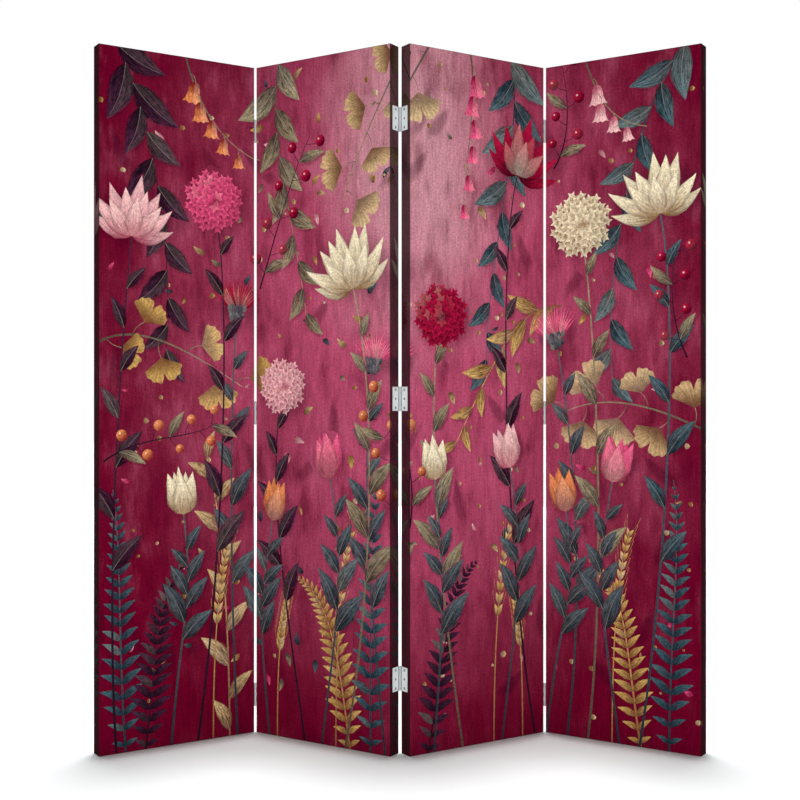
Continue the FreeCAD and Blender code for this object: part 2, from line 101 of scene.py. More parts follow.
camera_data = bpy.data.cameras.new("camera")
camera_data.sensor_width = SENSOR_WIDTH
camera_data.lens = LENS
camera = bpy.data.objects.new("camera", camera_data)
camera.location = (0, -CAMERA_DISTANCE, PANEL_HEIGHT / 2)
camera.rotation_euler = (math.radians(90), 0, 0)
bpy.context.scene.collection.objects.link(camera)
bpy.context.scene.camera = camera
print("camera", tuple(round(part, 3) for part in camera.location), "lens", LENS)

# %% [markdown]
# ## Small helpers for shader nodes
# Materials here are trees of nodes. One helper adds a node and fills its inputs: an input that is given
# another node's socket is linked to it, and any other value is typed into it.
# The nodes could be placed by hand in Blender's editor, but the same few kinds return in all materials.
# Colours are picked as they look on a screen, and are turned into the linear values that a shader uses.


# %% Node helpers
def add_node(tree, kind, inputs=None, **settings):
    """Add a shader node, set its options and fill its inputs."""
    node = tree.nodes.new("ShaderNode" + kind)
    for name, setting in settings.items():
        setattr(node, name, setting)
    for name, given in (inputs or {}).items():
        if isinstance(given, bpy.types.NodeSocket):
            tree.links.new(given, node.inputs[name])
        else:
            node.inputs[name].default_value = given
    return node


def calculate(tree, operation, first, second=0.0, third=0.0):
    """The result of one sum on numbers or sockets."""
    return add_node(tree, "Math", {0: first, 1: second, 2: third}, operation=operation).outputs[0]


def ramp(tree, number, low, high, to_low=0.0, to_high=1.0):
    """A smooth step of a number from one level to another."""
    node = add_node(tree, "MapRange", {0: number, 1: low, 2: high, 3: to_low, 4: to_high},
                    interpolation_type="SMOOTHSTEP")
    return node.outputs[0]


def blend(tree, share, first, second):
    """A mix of two colours. A Mix node has sockets for each kind of data, and these are its colour ones."""
    return add_node(tree, "Mix", {0: share, 6: first, 7: second}, data_type="RGBA").outputs[2]


def noise(tree, vector, scale, detail, roughness=0.5):
    """Cloudy noise from 0 to 1."""
    settings = {"Vector": vector, "Scale": scale, "Detail": detail, "Roughness": roughness}
    return add_node(tree, "TexNoise", settings).outputs["Fac"]


def stretch(tree, vector, across, along, turn=0.0):
    """Coordinates turned by an angle and scaled by different amounts across and along."""
    settings = {"Vector": vector, "Scale": (across, along, 1), "Rotation": (0, 0, turn)}
    return add_node(tree, "Mapping", settings).outputs[0]


def swing(tree, number, amount, about):
    """A noise's swing about its middle, scaled and added to another number."""
    return calculate(tree, "MULTIPLY_ADD", calculate(tree, "SUBTRACT", number, 0.5), amount, about)


def tone_of(tree, colour, amount):
    """A colour made lighter or darker by a factor."""
    return add_node(tree, "VectorMath", {0: colour, 3: amount}, operation="SCALE").outputs[0]


print("node helpers ready")


# %% Colours, groups and materials
def linear(code):
    """A screen colour such as #AA3355 as linear red, green, blue and alpha."""
    parts = [int(code[place:place + 2], 16) / 255 for place in (1, 3, 5)]
    parts = [part / 12.92 if part <= 0.04045 else ((part + 0.055) / 1.055) ** 2.4 for part in parts]
    return (*parts, 1.0)


def new_group(name, inputs, outputs):
    """An empty node group with named sockets, and its input and output nodes."""
    tree = bpy.data.node_groups.new(name, "ShaderNodeTree")
    for socket, kind in inputs.items():
        tree.interface.new_socket(socket, in_out="INPUT", socket_type="NodeSocket" + kind)
    for socket, kind in outputs.items():
        tree.interface.new_socket(socket, in_out="OUTPUT", socket_type="NodeSocket" + kind)
    return tree, tree.nodes.new("NodeGroupInput").outputs, tree.nodes.new("NodeGroupOutput").inputs


def use_group(tree, group, inputs):
    """A node group placed in another tree."""
    return add_node(tree, "Group", inputs, node_tree=group).outputs


def new_material(name, **constants):
    """A material whose shader has these values all over, with its tree and shader."""
    material = bpy.data.materials.new(name)
    material.use_nodes = True
    shader = material.node_tree.nodes["Principled BSDF"]
    for socket, constant in constants.items():
        shader.inputs[socket.replace("_", " ")].default_value = constant
    return material, material.node_tree, shader


print("a screen grey of #808080 is", round(linear("#808080")[0], 3), "for a shader")

# %% [markdown]
# ## Woven cloth
# Canvas is a plain weave: threads go over and under each other about every 0.7 mm, and no thread is even.
# Two sets of bands at right angles, one for each direction of thread, give the height of the weave,
# and slow noise makes some threads thicker. The print and the lining both use this group.
# Threads could be modelled one by one, but a panel has thousands, so a pattern that tints and raises the
# surface does their work.

# %% Weave as a node group
WOBBLE_SCALE = 0.35
WOBBLE_SHARE = 0.25
# A wave texture of this scale has one band in each unit.
ONE_BAND = 0.314

weave_group, weave_in, weave_out = new_group(
    "cloth_weave", {"Cloth": "Vector", "Thread": "Float"}, {"Height": "Float", "Tone": "Float"})
scaled = tone_of(weave_group, weave_in["Cloth"], weave_in["Thread"])
uneven = add_node(weave_group, "TexNoise", {"Vector": scaled, "Scale": WOBBLE_SCALE, "Detail": 2.0})
wobble = {0: WOBBLE_SHARE, 1: scaled, 2: uneven.outputs["Color"]}
wavy = add_node(weave_group, "MixRGB", wobble, blend_type="ADD").outputs[0]
bands = []
for way in ("X", "Y"):
    wave = add_node(weave_group, "TexWave", {"Vector": wavy, "Scale": ONE_BAND}, bands_direction=way)
    bands.append(wave.outputs["Fac"])
over_under = calculate(weave_group, "MAXIMUM", *bands)
slubs = noise(weave_group, stretch(weave_group, scaled, 0.02, 0.3), 1.0, 2.0)
height = calculate(weave_group, "MULTIPLY_ADD", slubs, 0.5, over_under)
weave_group.links.new(height, weave_out["Height"])
weave_group.links.new(calculate(weave_group, "MULTIPLY_ADD", height, 0.16, 0.88), weave_out["Tone"])
print("weave group with", len(weave_group.nodes), "nodes")

# %% [markdown]
# ## Painted ground
# The print's ground is thin brushed paint: deep burgundy along the foot and in the upper corners, warmer at
# half height, and a pale rose glow high in the middle, which is partly the print's and partly a painted sheen.
# The brush went mostly up and down, so the noise is pulled long that way, and paler and darker paint was dragged
# over it in patches.
# A picture file could hold it, but would blur up close, and noise stays sharp at any distance.
# All is worked out on the cloth's own coordinates, which run on from panel to panel.

# %% Brush strokes of the ground
ground_group, ground_in, ground_out = new_group(
    "painted_ground", {"Cloth": "Vector"}, {"Color": "Color", "Height": "Float"})
tree = ground_group
cloth = ground_in["Cloth"]
place = add_node(tree, "SeparateXYZ", {0: cloth}).outputs
hairs = noise(tree, stretch(tree, cloth, 330, 16), 1.0, 2.0, 0.6)
fine_strokes = noise(tree, stretch(tree, cloth, 170, 26), 1.0, 5.0, 0.7)
slanting_strokes = noise(tree, stretch(tree, cloth, 48, 11, 0.17), 1.0, 5.0, 0.6)
patches = noise(tree, stretch(tree, cloth, 15, 7, -0.12), 1.0, 4.0, 0.5)
clouds = noise(tree, cloth, 5.0, 4.0, 0.55)
halves = calculate(tree, "ADD", fine_strokes, slanting_strokes)
strokes = calculate(tree, "MULTIPLY", halves, 0.5)
drift = swing(tree, clouds, 0.9, swing(tree, patches, 0.6, 0.0))
print("strokes of the ground:", len(tree.nodes), "nodes")

# %% Ground as a node group
WARM = {"centre": (0.75, 0.91), "size": (0.76, 0.95)}
# The pale rose glow is the print's own, and also a painted sheen of the canvas high in the middle.
GLOW_AND_SHEEN = {"centre": (0.76, 1.27), "size": (0.28, 0.52)}
BURGUNDY = linear("#620321")
RASPBERRY = linear("#A84563")
PALE_ROSE = linear("#C8989F")
DRAGGED_ROSE = linear("#B8647F")
DRAGGED_WINE = linear("#5A0224")


def reach_from(tree, place, centre, size):
    """How far a spot is from a centre, in units of an ellipse's half axes."""
    squares = []
    for axis, middle, half in zip("XY", centre, size):
        offset = calculate(tree, "DIVIDE", calculate(tree, "SUBTRACT", place[axis], middle), half)
        squares.append(calculate(tree, "MULTIPLY", offset, offset))
    return calculate(tree, "SQRT", calculate(tree, "ADD", *squares))


warm_reach = calculate(tree, "MULTIPLY_ADD", drift, -0.5, reach_from(tree, place, **WARM))
warm = ramp(tree, warm_reach, 0.2, 1.15, 1.0, 0.0)
warm = calculate(tree, "MULTIPLY", warm, ramp(tree, place["Y"], 0.0, 0.34, 0.3, 1.0))
glow_reach = calculate(tree, "MULTIPLY_ADD", drift, -0.6, reach_from(tree, place, **GLOW_AND_SHEEN))
glow = ramp(tree, glow_reach, 0.1, 1.0, 0.68, 0.0)
colour = blend(tree, warm, BURGUNDY, RASPBERRY)
colour = blend(tree, glow, colour, PALE_ROSE)
dragged = calculate(tree, "MULTIPLY_ADD", slanting_strokes, 0.4, patches)
above_foot = ramp(tree, place["Y"], 0.1, 0.7, 0.15, 1.0)
pale = calculate(tree, "MULTIPLY", ramp(tree, dragged, 0.7, 0.95, 0.0, 0.2), above_foot)
colour = blend(tree, pale, colour, DRAGGED_ROSE)
dark = ramp(tree, dragged, 0.45, 0.7, 0.5, 0.0)
colour = blend(tree, dark, colour, DRAGGED_WINE)
tone = swing(tree, hairs, 0.7, swing(tree, strokes, 1.4, 1.0))
tree.links.new(tone_of(tree, colour, tone), ground_out["Color"])
tree.links.new(strokes, ground_out["Height"])
print("ground group with", len(tree.nodes), "nodes")

# %% [markdown]
# ## Paints of the print
# Each mark of the design, a leaf half, a petal or a stem, carries two colours, one near its root and one
# at its far end, and its own little coordinates: along it from 0 to 1 and across it from -1 to 1.
# A paint only has to blend the two colours, add what its kind of mark shows, and lie on the weave.

# %% Paint on canvas
CANVAS_THREADS = 1400.0
# Painted shade on the flaps round the edges: the share of the print's light kept there, and the brown that it is
# dulled to.
EDGE_PAINTED_SHADE = 0.22
EDGE_SHADE_BROWN = linear("#452A2E")
# How far apart the noise of two marks is read, so that no two show the same streaks.
SEED_SPREAD = 37.0


def paint_material(name, draw):
    """A matt paint on canvas, darker and duller on the edges with painted shade. draw returns its colour and brush
    relief.
    """
    material, tree, shader = new_material(name, Roughness=0.85, Specular_IOR_Level=0.0)
    cloth = add_node(tree, "UVMap", uv_map="cloth").outputs[0]
    weave = use_group(tree, weave_group, {"Cloth": cloth, "Thread": CANVAS_THREADS})
    colour, relief = draw(tree, cloth)
    # The far colour's alpha carries painted shade: 1 on the front, less on the flaps round the edges.
    edge_shade = add_node(tree, "Attribute", attribute_name="far").outputs["Alpha"]
    grain = swing(tree, noise(tree, cloth, 230.0, 3.0, 0.7), 1.5, weave["Tone"])
    printed = tone_of(tree, colour, calculate(tree, "MULTIPLY", grain, edge_shade))
    dulled = ramp(tree, edge_shade, EDGE_PAINTED_SHADE, 1.0, 0.3, 0.0)
    tree.links.new(blend(tree, dulled, printed, EDGE_SHADE_BROWN), shader.inputs["Base Color"])
    brush = add_node(tree, "Bump", {"Height": relief, "Strength": 0.35, "Distance": 0.0008}).outputs[0]
    threads = {"Height": weave["Height"], "Strength": 0.2, "Distance": 0.0002, "Normal": brush}
    tree.links.new(add_node(tree, "Bump", threads).outputs[0], shader.inputs["Normal"])
    return material


def mark_inputs(tree):
    """A mark's two colours, its seed and its own coordinates."""
    near = add_node(tree, "Attribute", attribute_name="near")
    far = add_node(tree, "Attribute", attribute_name="far")
    own = add_node(tree, "SeparateXYZ", {0: add_node(tree, "UVMap", uv_map="motif").outputs[0]}).outputs
    return near.outputs["Color"], far.outputs["Color"], near.outputs["Alpha"], own["X"], own["Y"]


def brush_streaks(tree, seed, along, across):
    """Dry streaks of a brush that was drawn along a mark, other ones for every mark."""
    lane = calculate(tree, "MULTIPLY_ADD", seed, SEED_SPREAD, calculate(tree, "MULTIPLY", across, 2.6))
    lanes = add_node(tree, "CombineXYZ", {0: lane, 1: calculate(tree, "MULTIPLY", along, 1.3)}).outputs[0]
    return noise(tree, lanes, 3.0, 5.0, 0.65)


def lay_over(tree, cloth, colour, cover):
    """A colour laid over the ground, which shows where the paint covers it less."""
    ground = use_group(tree, ground_group, {"Cloth": cloth})
    return blend(tree, cover, ground["Color"], colour)


print("helpers for paints ready, on", CANVAS_THREADS, "threads a metre")


# %% Paints of the ground, shadows and stems
def draw_ground(tree, cloth):
    """The brushed ground."""
    ground = use_group(tree, ground_group, {"Cloth": cloth})
    return ground["Color"], ground["Height"]


def draw_shade(tree, cloth):
    """The ground under a dark wash that thins out towards the mark's rim and ends."""
    _, _, _, along, across = mark_inputs(tree)
    ground = use_group(tree, ground_group, {"Cloth": cloth})
    sides = ramp(tree, calculate(tree, "ABSOLUTE", across), 0.3, 1.0, 0.45, 0.0)
    from_middle = calculate(tree, "ABSOLUTE", calculate(tree, "SUBTRACT", along, 0.5))
    ends = ramp(tree, from_middle, 0.22, 0.5, 1.0, 0.0)
    share = calculate(tree, "MULTIPLY", sides, ends)
    return blend(tree, share, ground["Color"], linear("#38031A")), ground["Height"]


def draw_stem(tree, cloth):
    """A stem, fleck or fine line, uneven as from a loaded brush."""
    near, far, _, along, _ = mark_inputs(tree)
    dabs = noise(tree, cloth, 90.0, 3.0, 0.6)
    return tone_of(tree, blend(tree, along, near, far), swing(tree, dabs, 1.2, 1.0)), dabs


print("paints of the ground, shadows and stems ready")


# %% Paints of leaves, petals and fans
def draw_leaf(tree, cloth):
    """A leaf brushed thinly: scratches along it and along its side veins let the ground through."""
    near, far, seed, along, across = mark_inputs(tree)
    side = calculate(tree, "ABSOLUTE", across)
    streaks = brush_streaks(tree, seed, along, across)
    slant = calculate(tree, "MULTIPLY_ADD", along, 7.0, calculate(tree, "MULTIPLY", side, -1.8))
    lane = calculate(tree, "MULTIPLY", seed, SEED_SPREAD)
    ribs = add_node(tree, "CombineXYZ", {0: slant, 1: side, 2: lane}).outputs[0]
    veins = noise(tree, ribs, 2.2, 3.0, 0.6)
    dabs = noise(tree, stretch(tree, cloth, 110, 70), 1.0, 4.0, 0.7)
    colour = blend(tree, ramp(tree, swing(tree, streaks, 0.8, along), 0.0, 1.0), near, far)
    tone = swing(tree, dabs, 1.2, swing(tree, veins, 0.9, 1.0))
    tone = calculate(tree, "MULTIPLY", tone, ramp(tree, streaks, 0.36, 0.6, 0.42, 1.3))
    tone = calculate(tree, "MULTIPLY", tone, ramp(tree, side, 0.72, 0.92, 1.0, 0.6))
    scratched = ramp(tree, calculate(tree, "MAXIMUM", streaks, veins), 0.58, 0.76, 1.0, 0.45)
    rim = ramp(tree, swing(tree, dabs, 0.7, side), 0.78, 1.05, 1.0, 0.2)
    cover = calculate(tree, "MULTIPLY", scratched, rim)
    return lay_over(tree, cloth, tone_of(tree, colour, tone), cover), dabs


def draw_petal(tree, cloth):
    """A petal with streaks from its root to its rim."""
    near, far, seed, along, across = mark_inputs(tree)
    streaks = brush_streaks(tree, seed, along, across)
    colour = blend(tree, ramp(tree, swing(tree, streaks, 0.8, along), 0.05, 0.9), near, far)
    dabs = noise(tree, stretch(tree, cloth, 120, 80), 1.0, 4.0, 0.65)
    tone = swing(tree, dabs, 0.9, swing(tree, streaks, 1.1, 1.0))
    side = calculate(tree, "ABSOLUTE", across)
    shaded = calculate(tree, "MULTIPLY", tone, ramp(tree, side, 0.55, 0.95, 1.0, 0.66))
    scratched = ramp(tree, streaks, 0.6, 0.8, 1.0, 0.7)
    rim = ramp(tree, swing(tree, dabs, 0.6, side), 0.86, 1.1, 1.0, 0.3)
    cover = calculate(tree, "MULTIPLY", scratched, rim)
    return lay_over(tree, cloth, tone_of(tree, colour, shaded), cover), streaks


def draw_fan(tree, cloth):
    """A fan-shaped leaf with fine ribs that spread from its stalk."""
    near, far, _, along, across = mark_inputs(tree)
    spread = calculate(tree, "DIVIDE", across, calculate(tree, "MAXIMUM", along, 0.08))
    ribs = calculate(tree, "SINE", calculate(tree, "MULTIPLY", spread, 26.0))
    dabs = noise(tree, cloth, 75.0, 4.0, 0.65)
    colour = blend(tree, ramp(tree, along, 0.1, 1.0), near, far)
    tone = calculate(tree, "MULTIPLY_ADD", ribs, 0.14, swing(tree, dabs, 1.5, 1.0))
    cover = ramp(tree, swing(tree, dabs, 0.9, along), 0.8, 1.1, 1.0, 0.35)
    return lay_over(tree, cloth, tone_of(tree, colour, tone), cover), dabs


print("paints of leaves, petals and fans ready")

# %% Materials of the paints
PAINTS = {
    "ground": paint_material("ground_paint", draw_ground),
    "shade": paint_material("shade_paint", draw_shade),
    "leaf": paint_material("leaf_paint", draw_leaf),
    "petal": paint_material("petal_paint", draw_petal),
    "fan": paint_material("fan_paint", draw_fan),
    "stem": paint_material("stem_paint", draw_stem),
}
paint_numbers = {name: number for number, name in enumerate(PAINTS)}
print("paints:", ", ".join(PAINTS))

# %% [markdown]
# ## Drawing the design
# The four panels carry one garden, drawn flat over their joined width before it is cut up.
# A mark is a closed outline with a paint. Marks are laid in order, as a painter would, and a later mark
# covers an earlier one. Leaves, stems and petals are built from a spine that may bend.
# A picture could be painted on the cloth instead, but outlines stay crisp however near one comes.

# %% Colours of the design
# Each is a pair: the colour at a mark's root and the one at its far end.
CREAM = (linear("#8C6A44"), linear("#EBDDBB"))
SAND = (linear("#6E4A35"), linear("#C8A878"))
GOLD = (linear("#7A5230"), linear("#C9A25C"))
ROSE = (linear("#8E1240"), linear("#E0547F"))
BLUSH = (linear("#A8475F"), linear("#E9B3B4"))
CRIMSON = (linear("#4C0318"), linear("#A8143A"))
CORAL = (linear("#7C1F22"), linear("#DE8450"))
TEAL = (linear("#1B2C36"), linear("#3F5D66"))
SLATE = (linear("#20282F"), linear("#4A5961"))
PLUM = (linear("#1E0F1C"), linear("#402237"))
OLIVE = (linear("#4B3F36"), linear("#94876A"))
WINE = (linear("#2E0413"), linear("#6B1230"))


def lighten(pair, share):
    """A pair of colours moved towards cream, or towards wine below zero."""
    goal = np.array(linear("#F3E9D2" if share > 0 else "#2A0412"))
    return tuple(tuple(np.array(colour) * (1 - abs(share)) + goal * abs(share)) for colour in pair)


print("cream as a linear pair:", [[round(float(part), 2) for part in colour] for colour in CREAM])

# %% A mark and a stroke
marks = []
chance = np.random.default_rng(11)


def add_mark(outline, paint, colours, root, tip, half_width, bend=0.0, belly=0.0):
    """Lay one closed outline. root and tip say which way it runs, bend and belly how a blade is shaped."""
    turn = sum(a.x * b.y - b.x * a.y for a, b in zip(outline, outline[1:] + outline[:1]))
    marks.append({
        "outline": outline if turn > 0 else outline[::-1], "paint": paint,
        "near": colours[0], "far": colours[1],
        "seed": chance.random(), "root": root, "run": tip - root, "half_width": half_width,
        "bend": bend, "belly": belly,
    })


def add_stroke(points, start_width, end_width, colours):
    """A brush stroke along points, from one width to another."""
    left, right = [], []
    for number, point in enumerate(points):
        before = points[max(number - 1, 0)]
        after = points[min(number + 1, len(points) - 1)]
        side = (after - before).orthogonal().normalized()
        share = number / (len(points) - 1)
        half = (start_width + (end_width - start_width) * share) / 2
        left.append(point + side * half)
        right.append(point - side * half)
    add_mark(left + right[::-1], "stem", colours, points[0], points[-1], max(start_width, end_width))


print("marks and strokes ready")

# %% Blades, leaves and boughs
LEAF_STEPS = 9
LEAF_BELLY = 0.8
LEAF_SHADOW = Vector((0.004, -0.006))
MIDRIB = (0.0014, 0.0006)


def direction(angle):
    """A unit vector at an angle in degrees from the horizontal."""
    return Vector((math.cos(math.radians(angle)), math.sin(math.radians(angle))))


def spine(root, angle, length, bend, count):
    """Points along a bent spine, and the direction across it."""
    along = direction(angle)
    side = along.orthogonal()
    points = []
    for number in range(count + 1):
        share = number / count
        bow = bend * 4 * share * (1 - share)
        points.append(root + (along * share + side * bow) * length)
    return points, side


def widths(width, belly, count):
    """Half widths along a blade, a little uneven as from a brush."""
    smooth = [width / 2 * math.sin(math.pi * (number / count) ** belly) for number in range(count + 1)]
    return [half * chance.uniform(0.87, 1.08) for half in smooth]


def add_blade(root, angle, length, width, bend, colours, paint="petal", belly=0.8, count=8):
    """One pointed blade, widest before its middle."""
    points, side = spine(root, angle, length, bend, count)
    left = [point + side * half for point, half in zip(points, widths(width, belly, count))]
    right = [point - side * half for point, half in zip(points, widths(width, belly, count))]
    add_mark(left + right[-2:0:-1], paint, colours, points[0], points[-1], width / 2, bend, belly)


def add_leaf(root, angle, length, width, bend, colours):
    """A leaf in two halves, one in the light, with a thin midrib and a soft shadow beside it."""
    shape = (LEAF_BELLY, LEAF_STEPS)
    add_blade(root + LEAF_SHADOW, angle, length, width * 1.3, bend, WINE, "shade", *shape)
    points, side = spine(root, angle, length, bend, LEAF_STEPS)
    for sign, light in ((1, 0.02), (-1, -0.1)):
        edge = [point + side * sign * half for point, half in zip(points, widths(width, *shape))]
        tone = lighten(colours, light)
        add_mark(points + edge[-2:0:-1], "leaf", tone, points[0], points[-1], width / 2, bend, LEAF_BELLY)
    add_stroke(points[:-1], *MIDRIB, lighten(colours, 0.16))


def bough(start, lean, end, arrive, count):
    """Points along a smooth bough. lean and arrive are how it sets out and comes in."""
    start, lean, end, arrive = (Vector(part) for part in (start, lean, end, arrive))
    return [Vector(point) for point in interpolate_bezier(start, start + lean, end - arrive, end, count)]


def heading(points, number):
    """The direction of a bough at one of its points, in degrees."""
    run = points[min(number + 1, len(points) - 1)] - points[max(number - 1, 0)]
    return math.degrees(math.atan2(run.y, run.x))


print("blades, leaves and boughs ready")

# %% [markdown]
# ## Plants of the garden
# Each plant is a small recipe of strokes and blades: fern fronds, hanging sprays, fan-leaved twigs, ears of
# grass, tulips, lilies seen from the side, round flower heads, thistles, bells and berries.
# Every leaf could be drawn by hand, but a recipe draws hundreds and keeps a plant's habit.
# No two leaves get quite the same size, tilt or tone, which is what makes a painted garden look alive.

# %% Ferns and sprays
FERN_PAIRS = 21


def add_fern(start, lean, end, arrive, reach, colours):
    """A frond: pairs of narrow leaflets that shorten to the tip."""
    points = bough(start, lean, end, arrive, FERN_PAIRS + 2)
    add_stroke(points, 0.005, 0.001, colours)
    for number in range(1, FERN_PAIRS + 1):
        share = number / FERN_PAIRS
        length = reach * min(1.0, 0.25 + share * 4) * (1 - share) ** 0.7 + 0.008
        width = length * 0.3 + 0.003
        for sign in (1, -1):
            angle = heading(points, number) + sign * (66 - 26 * share + chance.uniform(-4, 4))
            tone = lighten(colours, chance.uniform(-0.15, 0.05) + 0.04 * sign)
            add_blade(points[number], angle, length, width, -0.06 * sign, tone, "leaf", 0.7, 6)


def add_spray(start, lean, end, arrive, length, colours, count, slender):
    """A hanging or arching spray of pointed leaves. slender is a leaf's width in lengths."""
    points = bough(start, lean, end, arrive, count * 2)
    add_stroke(points, 0.0045, 0.0014, colours)
    for number in range(1, count * 2, 2):
        sign = 1 if number % 4 == 1 else -1
        size = length * (1 - 0.4 * number / (count * 2)) * chance.uniform(0.85, 1.1)
        angle = heading(points, number) + sign * chance.uniform(26, 48)
        tone = lighten(colours, chance.uniform(-0.12, 0.08))
        add_leaf(points[number], angle, size, size * slender, -0.07 * sign, tone)


print("a fern has", FERN_PAIRS, "pairs of leaflets")

# %% Fan-leaved twigs and ears of grass
FAN_STEPS = 13
EAR_STEPS = 40
GRAIN_PAIRS = 10
GRAIN = 0.03
BEARD = 0.03


def add_fan_twig(start, lean, end, arrive, size, colours, count):
    """A twig with fan-shaped leaves on thin stalks."""
    points = bough(start, lean, end, arrive, count * 3 + 1)
    add_stroke(points, 0.005, 0.0018, OLIVE)
    for number in range(2, count * 3, 3):
        sign = 1 if number % 2 else -1
        angle = heading(points, number) + sign * chance.uniform(45, 75)
        stalk, _ = spine(points[number], angle, size * 0.6, 0.1 * sign, 5)
        add_stroke(stalk, 0.0018, 0.0013, OLIVE)
        reach = size * chance.uniform(0.8, 1.1)
        aim = angle + chance.uniform(-12, 12)
        outline = [stalk[-1]]
        for step in range(-FAN_STEPS, FAN_STEPS + 1):
            cleft = 0.38 * math.exp(-(step / 1.05) ** 2)
            waves = 0.035 * math.sin(step * 1.7)
            rounding = 0.12 * (step / FAN_STEPS) ** 4
            radius = reach * (1 - cleft + waves - rounding)
            outline.append(stalk[-1] + direction(aim + step * 4.8) * radius)
        tip = stalk[-1] + direction(aim) * reach
        add_mark(outline, "fan", lighten(colours, chance.uniform(-0.15, 0.12)), stalk[-1], tip, reach)


def add_ear(start, lean, end, arrive, colours):
    """An ear of bearded grass on a bending stem."""
    points = bough(start, lean, end, arrive, EAR_STEPS)
    add_stroke(points, 0.0034, 0.0014, colours)
    for number in range(EAR_STEPS - 2 * GRAIN_PAIRS, EAR_STEPS - 1, 2):
        size = GRAIN * (1 - 0.015 * (number - 18))
        for sign in (1, -1):
            angle = heading(points, number) + sign * 22
            tone = lighten(colours, chance.uniform(-0.1, 0.2))
            add_blade(points[number], angle, size, size * 0.42, -0.05 * sign, tone)
            tip = points[number] + direction(angle) * size
            hair, _ = spine(tip, angle - sign * 8, BEARD, 0.04 * sign, 4)
            add_stroke(hair, 0.0011, 0.0005, colours)


print("an ear has", GRAIN_PAIRS, "pairs of grains")


# %% Tulips and lilies
def add_shadow(centre, width, tall):
    """A soft dark patch of ground behind a flower, set a little down and to the right."""
    left = centre + Vector((0.008 - width * 1.5, -0.012))
    add_blade(left, 0, width * 3, tall * 2.8, 0.0, WINE, "shade", 1.0, 12)


def add_petals(base, angle, size, colours, petals, belly):
    """Petals from one root, each with its lean, length, width and tone."""
    for lean, length, width, tone in petals:
        reach = size * length * chance.uniform(0.88, 1.08)
        turn = angle + lean + chance.uniform(-5, 5)
        shade = lighten(colours, tone + chance.uniform(-0.06, 0.06))
        add_blade(base, turn, reach, size * width, 0.0012 * lean, shade, "petal", belly, 10)


# A petal's lean in degrees, its length and width in sizes of the flower, and its tone; the rear ones first.
TULIP = ((-9, 0.93, 0.42, -0.22), (9, 0.95, 0.42, -0.16), (0, 1.0, 0.36, -0.06),
         (-17, 0.98, 0.44, 0.0), (17, 0.96, 0.44, 0.06), (-2, 0.88, 0.5, 0.14))
LILY = ((-74, 0.78, 0.24, -0.2), (74, 0.78, 0.24, -0.2), (-28, 0.92, 0.3, -0.12), (28, 0.92, 0.3, -0.12),
        (0, 1.0, 0.32, -0.04), (-52, 0.88, 0.27, 0.02), (52, 0.88, 0.27, 0.02), (-15, 0.86, 0.32, 0.08),
        (15, 0.84, 0.32, 0.12), (-38, 0.66, 0.27, 0.16), (38, 0.66, 0.27, 0.16), (0, 0.66, 0.3, 0.2))


def add_tulip(base, angle, size, colours):
    """A cup of upright petals."""
    add_shadow(base + direction(angle) * size * 0.5, size * 0.36, size * 0.46)
    add_petals(base, angle, size, colours, TULIP, 0.62)


def add_lily(base, angle, size, colours):
    """A wide open flower seen from the side."""
    add_shadow(base + direction(angle) * size * 0.4, size * 0.72, size * 0.46)
    add_petals(base, angle, size, colours, LILY, 0.7)


print("a tulip has", len(TULIP), "petals and a lily", len(LILY))

# %% Round heads and thistles
FLORETS = 64
# Seeds and florets that follow each other at this angle fill a disc evenly.
GOLDEN_ANGLE = 137.508


def add_globe(centre, radius, colours):
    """A round head of many starry florets, lit from the upper left."""
    add_shadow(centre, radius * 1.05, radius * 1.05)
    disc = [centre + direction(step * 15) * radius * 0.9 for step in range(24)]
    across = Vector((radius, 0))
    add_mark(disc, "petal", lighten(colours, -0.55), centre - across, centre + across, radius)
    for number in range(FLORETS, 0, -1):
        reach = math.sqrt(number / FLORETS)
        way = direction(number * GOLDEN_ANGLE)
        spot = centre + way * radius * reach
        size = radius * (0.27 - 0.08 * reach)
        light = 0.12 * (way.y - way.x) * reach + 0.04 - 0.2 * reach + chance.uniform(-0.1, 0.1)
        twist = chance.uniform(0, 72)
        points = [(twist + step * 36, 0.5 if step % 2 else 1.0) for step in range(10)]
        star = [spot + direction(angle) * size * length for angle, length in points]
        add_mark(star, "petal", lighten(colours, light), spot - way * size, spot + way * size, size)


def add_thistle(base, angle, size, colours):
    """A scaly cup with a brush of thin spikes."""
    along, beside = direction(angle), direction(angle + 90)
    add_shadow(base + along * size * 0.5, size * 0.42, size * 0.46)
    for reach, opening, tone in ((0.82, 6.5, -0.1), (0.70, 5.5, 0.1)):
        for step in range(-8, 9):
            length = size * reach * (1 - 0.0016 * step ** 2) * chance.uniform(0.92, 1.04)
            spike = lighten(colours, tone + chance.uniform(-0.1, 0.1))
            root = base + along * size * 0.2
            add_blade(root, angle + step * opening, length, size * 0.08, 0.0, spike, "petal", 0.5, 5)
    for row in range(4):
        for step in range(-2 + row % 2, 3):
            root = base + along * size * (0.27 - 0.08 * row) + beside * step * size * (0.075 - 0.01 * row)
            scale = lighten(SLATE, chance.uniform(-0.1, 0.15))
            add_blade(root, angle + step * 9, size * 0.17, size * 0.11, 0.0, scale, "leaf", 0.6, 5)


print("a round head has", FLORETS, "florets")

# %% Bells, berries and flecks
# How deep and how wide half a bell is, from its top to the middle of its scalloped rim.
BELL = ((0.0, 0.06), (0.1, 0.2), (0.3, 0.27), (0.6, 0.3), (0.82, 0.38), (1.0, 0.52), (0.93, 0.3),
        (1.02, 0.14), (0.94, 0.0))


